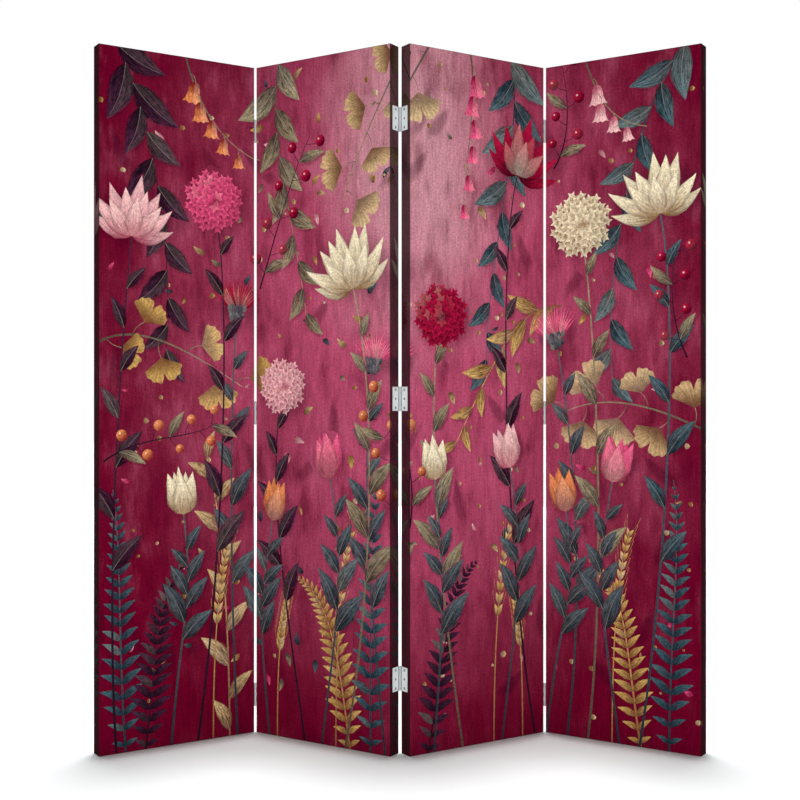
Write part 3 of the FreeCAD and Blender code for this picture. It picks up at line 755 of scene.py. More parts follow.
def add_bells(start, lean, end, arrive, size, colours, count):
    """An arching stem hung with bells that get smaller to its tip."""
    points = bough(start, lean, end, arrive, count * 3 + 2)
    add_stroke(points, 0.0045, 0.0016, OLIVE)
    for number in range(4, count * 3 + 1, 3):
        bell = size * (1.08 - 0.5 * number / (count * 3))
        hook, _ = spine(points[number], -70 + chance.uniform(-18, 18), bell * 0.45, 0.18, 5)
        add_stroke(hook, 0.0017, 0.0013, OLIVE)
        top = hook[-1]
        down = direction(-90 + chance.uniform(-10, 10))
        side = down.orthogonal()
        for sign, tone in ((1, 0.1), (-1, -0.1)):
            outline = [top] + [top + down * bell * deep + side * sign * bell * wide for deep, wide in BELL]
            add_mark(outline, "petal", lighten(colours, tone), top, top + down * bell, bell * 0.5)


def add_berries(start, lean, end, arrive, size, colours, count):
    """A twig of round berries, each with a small light on it."""
    points = bough(start, lean, end, arrive, count * 2 + 2)
    add_stroke(points, 0.004, 0.0014, PLUM)
    for number in range(2, count * 2 + 2, 2):
        sign = 1 if number % 4 else -1
        if number % 6 == 2:
            add_leaf(points[number], heading(points, number) - sign * 50, size * 3, size * 1.1, 0.05, OLIVE)
        stalk, _ = spine(points[number], heading(points, number) + sign * 55, size * 1.6, 0.08 * sign, 4)
        add_stroke(stalk, 0.0015, 0.0012, PLUM)
        middle = stalk[-1]
        radius = size * chance.uniform(0.45, 0.6)
        lit = direction(135) * radius
        ring = [middle + direction(step * 30) * radius for step in range(12)]
        tone = lighten(colours, chance.uniform(-0.15, 0.05))
        add_mark(ring, "petal", tone, middle - lit, middle + lit, radius)
        gleam = [middle + lit * 0.5 + direction(step * 60) * radius * 0.2 for step in range(6)]
        add_mark(gleam, "stem", lighten(colours, 0.5), middle, middle + lit, radius)


def add_fleck(spot, size, colours):
    """An uneven fleck."""
    ring = [spot + direction(step * 51.4) * size * chance.uniform(0.7, 1.15) for step in range(7)]
    tone = lighten(colours, chance.uniform(-0.2, 0.2))
    add_mark(ring, "stem", tone, spot, spot + Vector((size, 0)), size)


print("small things: bells, berries, flecks")

# %% [markdown]
# ## Planting the garden
# The design is planned over the joined width of 1.44 m. Ferns fan out from the foot, tall stems arch up to
# round heads and lilies, and sprays and fan-leaved twigs hang in from the top and the outer edges.
# They could be scattered by chance, but a planned layout spreads flowers and colours over all panels.
# Things far back are laid first: faint leaves, drifting petals and flecks, so that flowers cover them.

# %% Faint leaves, drifting petals and flecks
FOLDS = [PANEL_WIDTH * number for number in range(5)]
WHOLE_WIDTH = FOLDS[-1]
FAINT_LEAVES = 40
DRIFTING_PETALS = 110
FLECKS = 150
DRIFTING = (SAND, BLUSH, OLIVE, GOLD, ROSE, SLATE)
for number in range(FAINT_LEAVES):
    root = Vector((number * 0.036, chance.uniform(0.05, 1.35)))
    lean = chance.uniform(-60, 60)
    add_blade(root, 90 + lean, chance.uniform(0.09, 0.16), 0.042, 0.0012 * lean, WINE, "shade")
for number in range(DRIFTING_PETALS):
    spot = Vector((chance.uniform(0, WHOLE_WIDTH), chance.uniform(0.12, 1.46)))
    length = chance.uniform(0.014, 0.034)
    tone = lighten(DRIFTING[number % len(DRIFTING)], chance.uniform(-0.3, 0.0))
    angle = chance.uniform(0, 360)
    add_blade(spot, angle, length, length * chance.uniform(0.4, 0.6), 0.08, tone, "leaf", 0.7, 7)
for number in range(FLECKS):
    spot = Vector((chance.uniform(0, WHOLE_WIDTH), chance.uniform(0.05, 1.47)))
    add_fleck(spot, chance.uniform(0.003, 0.0075), CREAM if number % 4 == 0 else GOLD)
print("far back:", len(marks), "marks")

# %% Sprays from the top and twigs from the sides
# A plant's first point, how it sets out, its last point and how it comes in there, all in metres.
add_spray((0.03, 1.52), (0.08, -0.12), (0.15, 0.86), (-0.02, -0.22), 0.135, PLUM, 13, 0.46)
add_spray((0.43, 1.52), (-0.05, -0.15), (0.50, 0.94), (0.03, -0.2), 0.12, OLIVE, 11, 0.46)
add_spray((0.98, 1.52), (0.06, -0.12), (0.92, 0.84), (0.0, -0.22), 0.125, TEAL, 12, 0.44)
add_spray((1.42, 1.52), (-0.12, -0.1), (1.24, 0.80), (0.02, -0.25), 0.125, TEAL, 13, 0.44)
add_spray((1.12, 0.96), (-0.12, 0.02), (0.84, 0.66), (-0.06, -0.1), 0.10, GOLD, 10, 0.4)
add_spray((0.30, -0.02), (0.0, 0.2), (0.245, 0.62), (-0.04, 0.12), 0.10, SAND, 10, 0.4)
add_fan_twig((-0.02, 0.86), (0.10, 0.08), (0.33, 0.78), (0.10, -0.06), 0.064, GOLD, 6)
add_fan_twig((0.78, 1.52), (-0.06, -0.10), (0.60, 1.18), (-0.04, -0.12), 0.06, SAND, 6)
add_fan_twig((1.46, 0.68), (-0.12, 0.06), (1.12, 0.72), (-0.10, -0.05), 0.062, SAND, 7)
print("after sprays and twigs:", len(marks), "marks")

# %% Ferns and grass along the foot
FERNS = (
    ((0.06, -0.02), (-0.02, 0.25), (0.03, 0.56), (-0.02, 0.10), 0.055, TEAL),
    ((0.10, -0.02), (0.03, 0.20), (0.20, 0.40), (0.08, 0.06), 0.055, PLUM),
    ((0.62, -0.02), (-0.03, 0.20), (0.47, 0.36), (-0.10, 0.03), 0.055, GOLD),
    ((0.67, -0.02), (0.00, 0.28), (0.69, 0.60), (0.02, 0.14), 0.058, TEAL),
    ((0.76, -0.02), (0.05, 0.20), (0.90, 0.40), (0.09, 0.03), 0.055, PLUM),
    ((1.31, -0.02), (-0.04, 0.22), (1.19, 0.38), (-0.09, 0.03), 0.052, GOLD),
    ((1.37, -0.02), (0.00, 0.28), (1.38, 0.58), (-0.02, 0.15), 0.058, TEAL),
)
for start, lean, end, arrive, reach, colours in FERNS:
    add_fern(start, lean, end, arrive, reach, colours)
# Where an ear's stem stands, how far it leans over and how high it is.
EARS = ((0.26, 0.04, 0.44), (0.42, 0.03, 0.32), (0.58, 0.04, 0.46), (0.94, 0.05, 0.48), (1.02, -0.03, 0.34),
        (1.24, 0.04, 0.46))
for x, lean, top in EARS:
    add_ear((x, -0.02), (0, 0.2), (x + lean, top), (lean * 0.8, 0.1), GOLD)
print("after ferns and grass:", len(marks), "marks")


# %% Tall stems with flowers
def add_stem(foot, lean, head, colours):
    """A tall stem that arches from the foot to a flower head. Returns the direction it arrives in."""
    points = bough((foot, -0.02), (lean, 0.35), head, (-lean * 0.8, 0.22), 36)
    add_stroke(points, 0.0056, 0.003, colours)
    for number in range(12, 31, 3):
        sign = 1 if number % 2 else -1
        angle = heading(points, number) + sign * chance.uniform(26, 42)
        length = (0.135 - 0.0025 * number) * chance.uniform(0.85, 1.1)
        tone = lighten(colours, chance.uniform(-0.2, 0.05))
        add_leaf(points[number], angle, length, length * 0.4, -0.05 * sign, tone)
    return heading(points, len(points) - 1)


# The flower, its stem's foot and lean, the place of its head, its size and colours, and the stem's colours.
TALL_FLOWERS = (
    (add_thistle, 0.32, -0.02, (0.315, 0.92), 0.105, CRIMSON, SLATE),
    (add_globe, 0.22, 0.06, (0.262, 1.19), 0.064, ROSE, PLUM),
    (add_globe, 0.50, -0.06, (0.435, 0.78), 0.058, BLUSH, PLUM),
    (add_thistle, 0.71, -0.04, (0.675, 0.80), 0.10, ROSE, SLATE),
    (add_globe, 0.86, -0.06, (0.80, 0.93), 0.064, CRIMSON, OLIVE),
    (add_thistle, 1.13, 0.05, (1.11, 0.86), 0.105, ROSE, SLATE),
    (add_globe, 1.18, 0.05, (1.165, 1.14), 0.068, CREAM, OLIVE),
    (add_lily, 0.04, -0.03, (0.072, 1.10), 0.135, BLUSH, PLUM),
    (add_lily, 0.60, 0.08, (0.625, 0.99), 0.145, CREAM, OLIVE),
    (add_lily, 1.06, -0.08, (1.005, 1.25), 0.135, CRIMSON, PLUM),
    (add_lily, 1.30, 0.06, (1.35, 1.15), 0.14, CREAM, TEAL),
    (add_tulip, 0.16, 0.03, (0.19, 0.50), 0.10, CREAM, SLATE),
    (add_tulip, 0.40, -0.04, (0.405, 0.48), 0.10, CORAL, SLATE),
    (add_tulip, 0.54, 0.05, (0.565, 0.58), 0.105, ROSE, SLATE),
    (add_tulip, 0.78, 0.03, (0.785, 0.58), 0.10, CREAM, SLATE),
    (add_tulip, 0.96, 0.05, (0.985, 0.60), 0.105, BLUSH, SLATE),
    (add_tulip, 1.08, 0.04, (1.13, 0.50), 0.10, CORAL, SLATE),
    (add_tulip, 1.26, -0.05, (1.24, 0.57), 0.105, ROSE, SLATE),
)
for add_flower, foot, lean, head, size, colours, stem_colours in TALL_FLOWERS:
    angle = add_stem(foot, lean, head, stem_colours)
    if add_flower is add_globe:
        add_globe(Vector(head), size, colours)
    else:
        add_flower(Vector(head), angle, size, colours)
print("after the tall flowers:", len(marks), "marks")

# %% Bells and berries in front
add_bells((0.19, 1.52), (0.02, -0.08), (0.37, 1.29), (0.12, -0.04), 0.05, CORAL, 6)
add_bells((0.87, 1.52), (0.03, -0.06), (0.85, 1.12), (-0.02, -0.16), 0.05, ROSE, 7)
add_bells((1.17, 1.52), (0.03, -0.08), (1.32, 1.34), (0.10, -0.02), 0.048, BLUSH, 5)
add_berries((0.37, 1.00), (0.04, 0.10), (0.51, 1.33), (0.06, 0.10), 0.024, CRIMSON, 8)
add_berries((0.72, 0.48), (0.02, 0.10), (0.655, 0.76), (-0.05, 0.06), 0.022, CORAL, 6)
add_berries((1.10, 1.27), (0.04, 0.05), (1.12, 1.50), (-0.02, 0.08), 0.022, CRIMSON, 6)
add_berries((0.01, 0.62), (0.08, 0.06), (0.27, 0.70), (0.06, 0.04), 0.022, CORAL, 7)
add_berries((1.41, 0.84), (-0.04, 0.08), (1.39, 1.08), (0.02, 0.06), 0.022, CRIMSON, 6)
# Shadows darken the ground alone, so they go under all other marks.
marks.sort(key=lambda mark: mark["paint"] != "shade")
print("whole design:", len(marks), "marks")

# %% [markdown]
# ## Cutting the print and wrapping the canvas
# Printed canvas is one cloth: the print ends where the ground begins, in the same surface. So the cloth of
# each panel is cut along all outlines at once, and every little face takes the paint of the topmost mark.
# A constrained triangulation does that exactly. Marks could lie on the cloth as sheets of their own, but
# they would stand off it or flicker.
# Flaps round the four sides carry the picture on, mirrored and darkened by painted shade. Each flap is bent over
# a small radius, back along the bar and over the back radius, and ends in a hem.

# %% The way round an edge
EDGE_RADIUS = 0.001
BEND_STEPS = 4
CLOTH = 0.0006
HEM = 0.028
# Sizes nearer to each other than this are taken as one.
HAIR = 1e-6
# The axis and the direction of the bottom, right, top and left sides.
SIDES = ((1, -1), (0, 1), (1, 1), (0, -1))

MIDDLE = np.array((PANEL_WIDTH / 2, PANEL_HEIGHT / 2))
HALF = MIDDLE - EDGE_RADIUS
QUARTER = np.linspace(0, math.pi / 2, BEND_STEPS + 1)
OUTWARD = EDGE_RADIUS * np.concatenate([np.sin(QUARTER), np.cos(QUARTER)])
FRONT_BEND = EDGE_RADIUS * (1 - np.cos(QUARTER))
BACK = np.concatenate([FRONT_BEND, PANEL_DEPTH - FRONT_BEND[::-1]])
TRAVELLED = np.concatenate([[0], np.cumsum(np.hypot(np.diff(OUTWARD), np.diff(BACK)))])
FLAP = float(TRAVELLED[-1])


def bend(flat):
    """Points of the flat cloth, taken round the edges they hang over."""
    offset = flat - MIDDLE
    beyond = np.maximum(np.abs(offset) - HALF, 0).max(axis=1)
    grown = 1 + np.interp(beyond, TRAVELLED, OUTWARD)[:, None] / HALF
    x, z = (MIDDLE + np.clip(offset, -HALF, HALF) * grown).T
    return np.stack([x, np.interp(beyond, TRAVELLED, BACK), z], axis=1)


def mirror_back(flat):
    """The spots of the picture that points of the flat cloth show."""
    offset = flat - MIDDLE
    return MIDDLE + np.sign(offset) * np.minimum(np.abs(offset), 2 * HALF - np.abs(offset))


print(f"a flap goes {FLAP * 1000:.1f} mm round the edge in {len(TRAVELLED) - 1} steps")


# %% Outlines clipped and mirrored
def box(low, high):
    """The outline of a box, anticlockwise."""
    corners = ((low[0], low[1]), (high[0], low[1]), (high[0], high[1]), (low[0], high[1]))
    return [Vector(corner) for corner in corners]


def clip(outline, low, high):
    """The part of an outline inside a box."""
    for axis in (0, 1):
        for limit, sign in ((low[axis], 1), (high[axis], -1)):
            kept = []
            for a, b in zip(outline, outline[1:] + outline[:1]):
                reach_a, reach_b = sign * (a[axis] - limit), sign * (b[axis] - limit)
                if reach_a >= 0:
                    kept.append(a)
                if reach_a * reach_b < 0:
                    crossing = a.lerp(b, reach_a / (reach_a - reach_b))
                    crossing[axis] = limit
                    kept.append(crossing)
            outline = kept
    return outline


def mirror(outline, axis, line):
    """An outline mirrored at an upright or level line, still anticlockwise."""
    flipped = [point.copy() for point in outline]
    for point in flipped:
        point[axis] = 2 * line - point[axis]
    return flipped[::-1]


def holds(outline, spot):
    """Whether a spot lies inside an outline."""
    inside = False
    for a, b in zip(outline, outline[1:] + outline[:1]):
        if (a.y > spot.y) != (b.y > spot.y) and spot.x < a.x + (b.x - a.x) * (spot.y - a.y) / (b.y - a.y):
            inside = not inside
    return inside


print("helpers for outlines ready")

# %% Cloth cut along the outlines
# Marks on the flaps stop this far from the corners.
CORNER_ROOM = 0.0005
# Points of the cloth that are nearer than this become one.
MERGE = 1e-7
# Rounded as Blender's vectors are, so that a point on the rim stays where it is when it is mirrored.
FRONT = [(MIDDLE + sign * HALF).astype(np.float32).astype(float) for sign in (-1, 1)]


def cloth_pieces(panel):
    """The front and flaps of a panel's cloth and the marks on them, and the fold lines of the flaps."""
    left = Vector((FOLDS[panel - 1], 0))
    outlines = [([point - left for point in mark["outline"]], number) for number, mark in enumerate(marks)]
    pieces = [(box(*FRONT), -1)]
    marked = [(clip(outline, *FRONT), number) for outline, number in outlines]
    fold_lines = []
    for axis, sign in SIDES:
        low, high = FRONT[0].copy(), FRONT[1].copy()
        line = float(high[axis] if sign > 0 else low[axis])
        low[axis], high[axis] = sorted((line, line - sign * FLAP))
        pieces.append((mirror(box(low, high), axis, line), -1))
        for travelled in TRAVELLED[1:-1]:
            ends = [Vector(FRONT[0]), Vector(FRONT[1])]
            for end in ends:
                end[axis] = line + sign * travelled
            fold_lines.append(ends)
        low[1 - axis] += CORNER_ROOM
        high[1 - axis] -= CORNER_ROOM
        marked += [(mirror(clip(outline, low, high), axis, line), number) for outline, number in outlines]
    return pieces + [piece for piece in marked if len(piece[0]) > 2], fold_lines


def cut_cloth(panel):
    """Points of a panel's flat cloth, its triangles, and the number of each one's topmost mark or -1."""
    pieces, fold_lines = cloth_pieces(panel)
    points, faces, edges = [], [], []
    for outline, _ in pieces:
        faces.append(list(range(len(points), len(points) + len(outline))))
        points += outline
    for ends in fold_lines:
        edges.append((len(points), len(points) + 1))
        points += ends
    made, _, cut, _, _, sources = delaunay_2d_cdt(points, edges, faces, 0, MERGE, True)
    triangles, tops = [], []
    for face, source in zip(cut, sources):
        spot = sum((made[corner] for corner in face), Vector((0, 0))) / 3
        # The square at each corner, between two flaps, is no cloth.
        if (np.abs(np.array(spot) - MIDDLE) < HALF).any():
            claims = [number for number in sorted(source, reverse=True) if holds(pieces[number][0], spot)]
            triangles.append(list(face))
            tops.append(pieces[claims[0]][1] if claims else -1)
    used, places = np.unique(np.array(triangles), return_inverse=True)
    return np.array(made)[used], places.reshape(-1, 3).tolist(), tops


cloths = {panel: cut_cloth(panel) for panel in panel_places}
for panel, (flat, triangles, tops) in cloths.items():
    print(f"panel {panel}: {len(flat)} points, {len(triangles)} triangles")

# %% Numbers of all marks
# The last entry is the bare ground, so that a face with no mark can be given the number -1.
plain = {"paint": "ground", "near": WINE[0], "far": WINE[1], "seed": 0.0, "root": Vector((0, 0)),
         "run": Vector((1, 0)), "half_width": 1.0, "bend": 0.0, "belly": 0.0}
listed = marks + [plain]
mark_paints = np.array([paint_numbers[mark["paint"]] for mark in listed])
mark_roots, mark_runs, mark_near, mark_far = (
    np.array([tuple(mark[name]) for mark in listed]) for name in ("root", "run", "near", "far"))
mark_seeds, mark_halves, mark_bends, mark_bellies = (
    np.array([mark[name] for mark in listed]) for name in ("seed", "half_width", "bend", "belly"))
print("numbers of", len(marks), "marks and the bare ground")

# %% Mesh and paint of a canvas
# A blade has no width at its ends, so its width is read no nearer to them than this.
TIP = 0.02


def join_up(mesh, vertices, faces, cloth_count):
    """Build the mesh, with neighbouring flaps joined along the corners."""
    joined = np.arange(len(vertices))
    first = {}
    reach = np.abs(vertices[:cloth_count][:, [0, 2]] - MIDDLE)
    for number in np.flatnonzero((reach > HALF - HAIR).all(axis=1)):
        joined[number] = first.setdefault(tuple(np.round(vertices[number], 5)), number)
    kept, places = np.unique(joined, return_inverse=True)
    mesh.from_pydata(vertices[kept].tolist(), [], [places[face].tolist() for face in faces])


def give_paint(mesh, faces, printed, tops, edge_shade):
    """Paints of the faces, and coordinates, colours and painted edge shade of their corners."""
    for material in PAINTS.values():
        mesh.materials.append(material)
    mesh.polygons.foreach_set("material_index", mark_paints[tops])
    sizes = [len(face) for face in faces]
    top = np.repeat(tops, sizes)
    cloth = printed[np.concatenate(faces)]
    spot = cloth - mark_roots[top]
    run = mark_runs[top]
    length = np.linalg.norm(run, axis=1)
    along = (spot * run).sum(axis=1) / length ** 2
    inner = np.clip(along, TIP, 1 - TIP)
    across = (run[:, 0] * spot[:, 1] - run[:, 1] * spot[:, 0]) / length
    across = across - mark_bends[top] * length * 4 * inner * (1 - inner)
    profile = np.where(mark_bellies[top] > 0, np.sin(np.pi * inner ** mark_bellies[top]), 1.0)
    own = np.stack([along, across / (mark_halves[top] * profile)], axis=1)
    near = np.concatenate([mark_near[top][:, :3], mark_seeds[top][:, None]], axis=1)
    far = np.concatenate([mark_far[top][:, :3], np.repeat(edge_shade, sizes)[:, None]], axis=1)
    for name, coordinates in (("cloth", cloth), ("motif", own)):
        layer = mesh.uv_layers.new(name=name)
        layer.uv.foreach_set("vector", coordinates.astype(np.float32).ravel())
    for name, colours in (("near", near), ("far", far)):
        layer = mesh.color_attributes.new(name, "FLOAT_COLOR", "CORNER")
        layer.data.foreach_set("color", colours.astype(np.float32).ravel())


print("each canvas gets", len(PAINTS), "paints")

# %% Put a panel's canvas together
CORNERS = np.array(((-1, -1), (1, -1), (1, 1), (-1, 1)))


def hem_loops(start):
    """Corners of the hem and of the cloth's inner side, and their numbers after those of the cloth."""
    corners = []
    for outward, back in ((-HEM, PANEL_DEPTH), (-HEM, PANEL_DEPTH - CLOTH),
                          (-CLOTH, PANEL_DEPTH - CLOTH), (-CLOTH, CLOTH)):
        for x, z in MIDDLE + CORNERS * (MIDDLE + outward):
            corners.append((x, back, z))
    numbers = np.arange(start, start + len(corners)).reshape(-1, len(CORNERS))
    return np.array(corners), numbers.tolist()


def make_canvas(panel):
    """The printed canvas of one panel, as a closed sheet."""
    flat, triangles, tops = cloths[panel]
    inside, loops = hem_loops(len(flat))
    vertices = np.concatenate([bend(flat), inside])
    printed = np.concatenate([mirror_back(flat), inside[:, [0, 2]]]) + (FOLDS[panel - 1], 0)
    faces = list(triangles)
    for side, (axis, sign) in enumerate(SIDES):
        reach = sign * flat[:, axis]
        rim = np.flatnonzero(reach == reach.max())
        way = -1 if side in (0, 1) else 1
        run = rim[np.argsort(way * flat[rim, 1 - axis])].tolist()
        after = (side + 1) % len(SIDES)
        faces.append(run + [loops[0][side], loops[0][after]])
        for outer, inner in zip(loops, loops[1:]):
            faces.append([outer[after], outer[side], inner[side], inner[after]])
    faces.append(loops[-1][::-1])
    tops = np.array(tops + [-1] * (len(faces) - len(tops)))
    on_front = np.array([(np.abs(flat[face] - MIDDLE) < HALF + HAIR).all() for face in triangles])
    # Painted shade on the flaps: their faces keep only part of the print's light.
    edge_shade = np.full(len(faces), EDGE_PAINTED_SHADE)
    edge_shade[:len(triangles)][on_front] = 1.0
    mesh = bpy.data.meshes.new(f"panel_{panel}_canvas")
    join_up(mesh, vertices, faces, len(flat))
    give_paint(mesh, faces, printed, tops, edge_shade)
    mesh.transform(panel_places[panel])
    canvas = bpy.data.objects.new(mesh.name, mesh)
    bpy.context.scene.collection.objects.link(canvas)
    return canvas


for panel in panel_places:
    canvas = make_canvas(panel)
    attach(canvas, f"panel_{panel}")
    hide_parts(f"panel_{panel}_printed_canvas")

# %% [markdown]
# ## Lining of the back
# A plain unbleached cloth closes each panel's back. Its edge is turned under, so the hem is thicker.
# The cloth is pressed down at every staple, puffs up between them, and sags in the open bays. There painted
# shade makes it a little darker than on the pale bars behind it, and a thin line of painted shade marks the fold
# of its turned-under edge.
# A fine grid is bent to that shape with a formula, because a simulation would only find the same sag.

# %% Lining cotton
LINING_INSET = 0.005
TURNED_UNDER = 0.016
LINING_THREADS = 1100.0
# How far the bars reach in from a panel's edge, and half the height of the brace.
BAR_REACH = 0.0406
BRACE_HALF = 0.018
# Painted shade: the cloth over the open bays is coloured darker than over the bars.
ON_BARS = linear("#DBD1BE")
IN_BAYS = linear("#CBC0AB")

lining_material, tree, shader = new_material("lining_cotton", Roughness=0.9, Specular_IOR_Level=0.0)
cloth = add_node(tree, "UVMap", uv_map="cloth").outputs[0]
place = add_node(tree, "SeparateXYZ", {0: cloth}).outputs
from_sides, from_ends = (
    calculate(tree, "MINIMUM", place[axis], calculate(tree, "SUBTRACT", size, place[axis]))
    for axis, size in (("X", PANEL_WIDTH), ("Y", PANEL_HEIGHT)))
from_edge = calculate(tree, "MINIMUM", from_sides, from_ends)
from_brace = calculate(tree, "ABSOLUTE", calculate(tree, "SUBTRACT", place["Y"], PANEL_HEIGHT / 2))
off_bars = calculate(tree, "MINIMUM", calculate(tree, "SUBTRACT", from_edge, BAR_REACH),
                     calculate(tree, "SUBTRACT", from_brace, BRACE_HALF))
# A thin line of painted shade along the fold of the turned-under edge.
from_fold = calculate(tree, "ABSOLUTE", calculate(tree, "SUBTRACT", from_edge, LINING_INSET + TURNED_UNDER))
fold = ramp(tree, from_fold, 0.0, 0.0016, 0.72, 1.0)
weave = use_group(tree, weave_group, {"Cloth": cloth, "Thread": LINING_THREADS})
upright_slubs = noise(tree, stretch(tree, cloth, 1300, 26), 1.0, 2.0)
level_slubs = noise(tree, stretch(tree, cloth, 26, 1300), 1.0, 2.0)
clouds = noise(tree, cloth, 7.0, 4.0, 0.55)
colour = blend(tree, ramp(tree, off_bars, -0.002, 0.006), ON_BARS, IN_BAYS)
tone = calculate(tree, "MULTIPLY", weave["Tone"], fold)
tone = calculate(tree, "MULTIPLY", tone, swing(tree, clouds, 0.12, 1.0))
slubs = swing(tree, upright_slubs, 0.25, swing(tree, level_slubs, 0.25, 1.0))
tone = calculate(tree, "MULTIPLY", tone, slubs)
tree.links.new(tone_of(tree, colour, tone), shader.inputs["Base Color"])
bump = add_node(tree, "Bump", {"Height": weave["Height"], "Strength": 0.35, "Distance": 0.0003})
tree.links.new(bump.outputs[0], shader.inputs["Normal"])
print("lining cotton with", len(tree.nodes), "nodes")

# %% Shape of the lining
STAPLE_INSET = 0.012
STAPLE_PITCH = 0.075
# Inside the turned edge the lining is this much thinner, after a step this wide.
FOLDED_STEP = 0.00025
STEP_WIDTH = 0.0015
# In the bays it sags by this much, reached at this distance from the bars.
SAG = 0.0022
SAG_RUN = 0.07
# Between the staples it puffs up by this much, over this distance from them, and lies flat further in.
PUFF = 0.0004
PRESSED_RUN = 0.018
PUFF_END = 0.045
# The grid is fine over the strip along the edges, and coarser inside it.
FINE_STRIP = 0.03
FINE_LINES = 15


def staple_spots():
    """X and Z of the staples along the four sides."""
    spots = []
    for length, width, upright in ((PANEL_HEIGHT, PANEL_WIDTH, True), (PANEL_WIDTH, PANEL_HEIGHT, False)):
        run = length - 2 * STAPLE_INSET
        count = round(run / STAPLE_PITCH)
        for number in range(count):
            step = STAPLE_INSET + (number + 0.5) * run / count
            for side in (STAPLE_INSET, width - STAPLE_INSET):
                spots.append((side, step) if upright else (step, side))
    return np.array(spots)


def lining_surface(x, z):
    """How far back the lining's outer face lies at a spot of the panel."""
    from_edge = np.minimum(np.minimum(x, PANEL_WIDTH - x), np.minimum(z, PANEL_HEIGHT - z)) - LINING_INSET
    hem = np.clip((TURNED_UNDER - from_edge) / STEP_WIDTH, 0, 1)
    off_bars = np.minimum(from_edge + LINING_INSET - BAR_REACH, np.abs(z - PANEL_HEIGHT / 2) - BRACE_HALF)
    bay = np.clip(off_bars / SAG_RUN, 0, 1)
    sag = SAG * bay * (2 - bay)
    away = np.sqrt((x[:, None] - spots[:, 0]) ** 2 + (z[:, None] - spots[:, 1]) ** 2).min(axis=1)
    free = 1 - np.exp(-(away / PRESSED_RUN) ** 2)
    puff = PUFF * free * np.clip(1 - from_edge / PUFF_END, 0, 1)
    return LINING_BACK - FOLDED_STEP * (1 - hem) - sag + puff


def grid_lines(length, coarse_from, coarse_lines):
    """Places of the grid's lines along one side of a panel."""
    low_strip = np.linspace(LINING_INSET, FINE_STRIP, FINE_LINES)
    inside = np.linspace(coarse_from, length - coarse_from, coarse_lines)
    high_strip = np.linspace(length - FINE_STRIP, length - LINING_INSET, FINE_LINES)
    return np.concatenate([low_strip, inside, high_strip])


spots = staple_spots()
across = grid_lines(PANEL_WIDTH, 0.035, 56)
up = grid_lines(PANEL_HEIGHT, 0.034, 260)
grid_x, grid_z = (part.ravel() for part in np.meshgrid(across, up))
print("lining grid:", len(across), "by", len(up), "with", len(spots), "staples")

# %% Lining pieces
LINING_CLOTH = 0.00045


def make_lining(panel):
    """One panel's lining, with its thickness added inwards."""
    columns = len(across)
    vertices = np.stack([grid_x, lining_surface(grid_x, grid_z), grid_z], axis=1)
    faces = []
    for row in range(len(up) - 1):
        for column in range(columns - 1):
            corner = row * columns + column
            faces.append((corner, corner + columns, corner + columns + 1, corner + 1))
    mesh = bpy.data.meshes.new(f"panel_{panel}_lining")
    mesh.from_pydata(vertices.tolist(), [], faces)
    cloth_map = mesh.uv_layers.new(name="cloth")
    corners = np.zeros(len(mesh.loops), dtype=np.int64)
    mesh.loops.foreach_get("vertex_index", corners)
    cloth_map.uv.foreach_set("vector", vertices[corners][:, [0, 2]].astype(np.float32).ravel())
    mesh.materials.append(lining_material)
    mesh.polygons.foreach_set("use_smooth", [True] * len(mesh.polygons))
    mesh.transform(panel_places[panel])
    lining = bpy.data.objects.new(f"panel_{panel}_lining", mesh)
    bpy.context.scene.collection.objects.link(lining)
    thickness = lining.modifiers.new("thickness", "SOLIDIFY")
    thickness.thickness = LINING_CLOTH
    thickness.offset = -1
    return lining


for panel in panel_places:
    lining = make_lining(panel)
    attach(lining, f"panel_{panel}")
    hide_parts(f"panel_{panel}_back_lining")

# %% [markdown]
# ## Metal and wood
# The hinges are thin stamped steel with a bright zinc coat: almost white, softly brushed along the leaf and
# a little cloudy. Painted shade darkens the barrels and the strips of leaf beside the knuckles. The staples
# are plain wire, and the bars inside the panels are planed pine.
# The imported solids already have the exact shapes of these pieces, so they stay and only get new materials.
# These read a piece's own coordinates, so brushing and grain stay where they are when a panel swings.

# %% Zinc-plated steel
# Distances from a hinge axis between which the painted shade beside the knuckles fades.
KNUCKLE_SHADE_FROM = 0.0038
KNUCKLE_SHADE_TO = 0.0068


def knuckle_painted_shade(tree, place):
    """Painted shade: a tone that darkens the barrels and the strips of leaf beside them."""
    spot = add_node(tree, "SeparateXYZ", {0: place}).outputs
    nearest = 1.0
    for axis in axes.values():
        nearest = calculate(tree, "MINIMUM", nearest, reach_from(tree, spot, axis, (1.0, 1.0)))
    beside = ramp(tree, nearest, KNUCKLE_SHADE_FROM, KNUCKLE_SHADE_TO, 0.34, 1.0)
    on_barrel = ramp(tree, nearest, BARREL_RADIUS + 0.0001, BARREL_RADIUS + 0.0003, 0.2, 0.0)
    return calculate(tree, "ADD", beside, on_barrel)


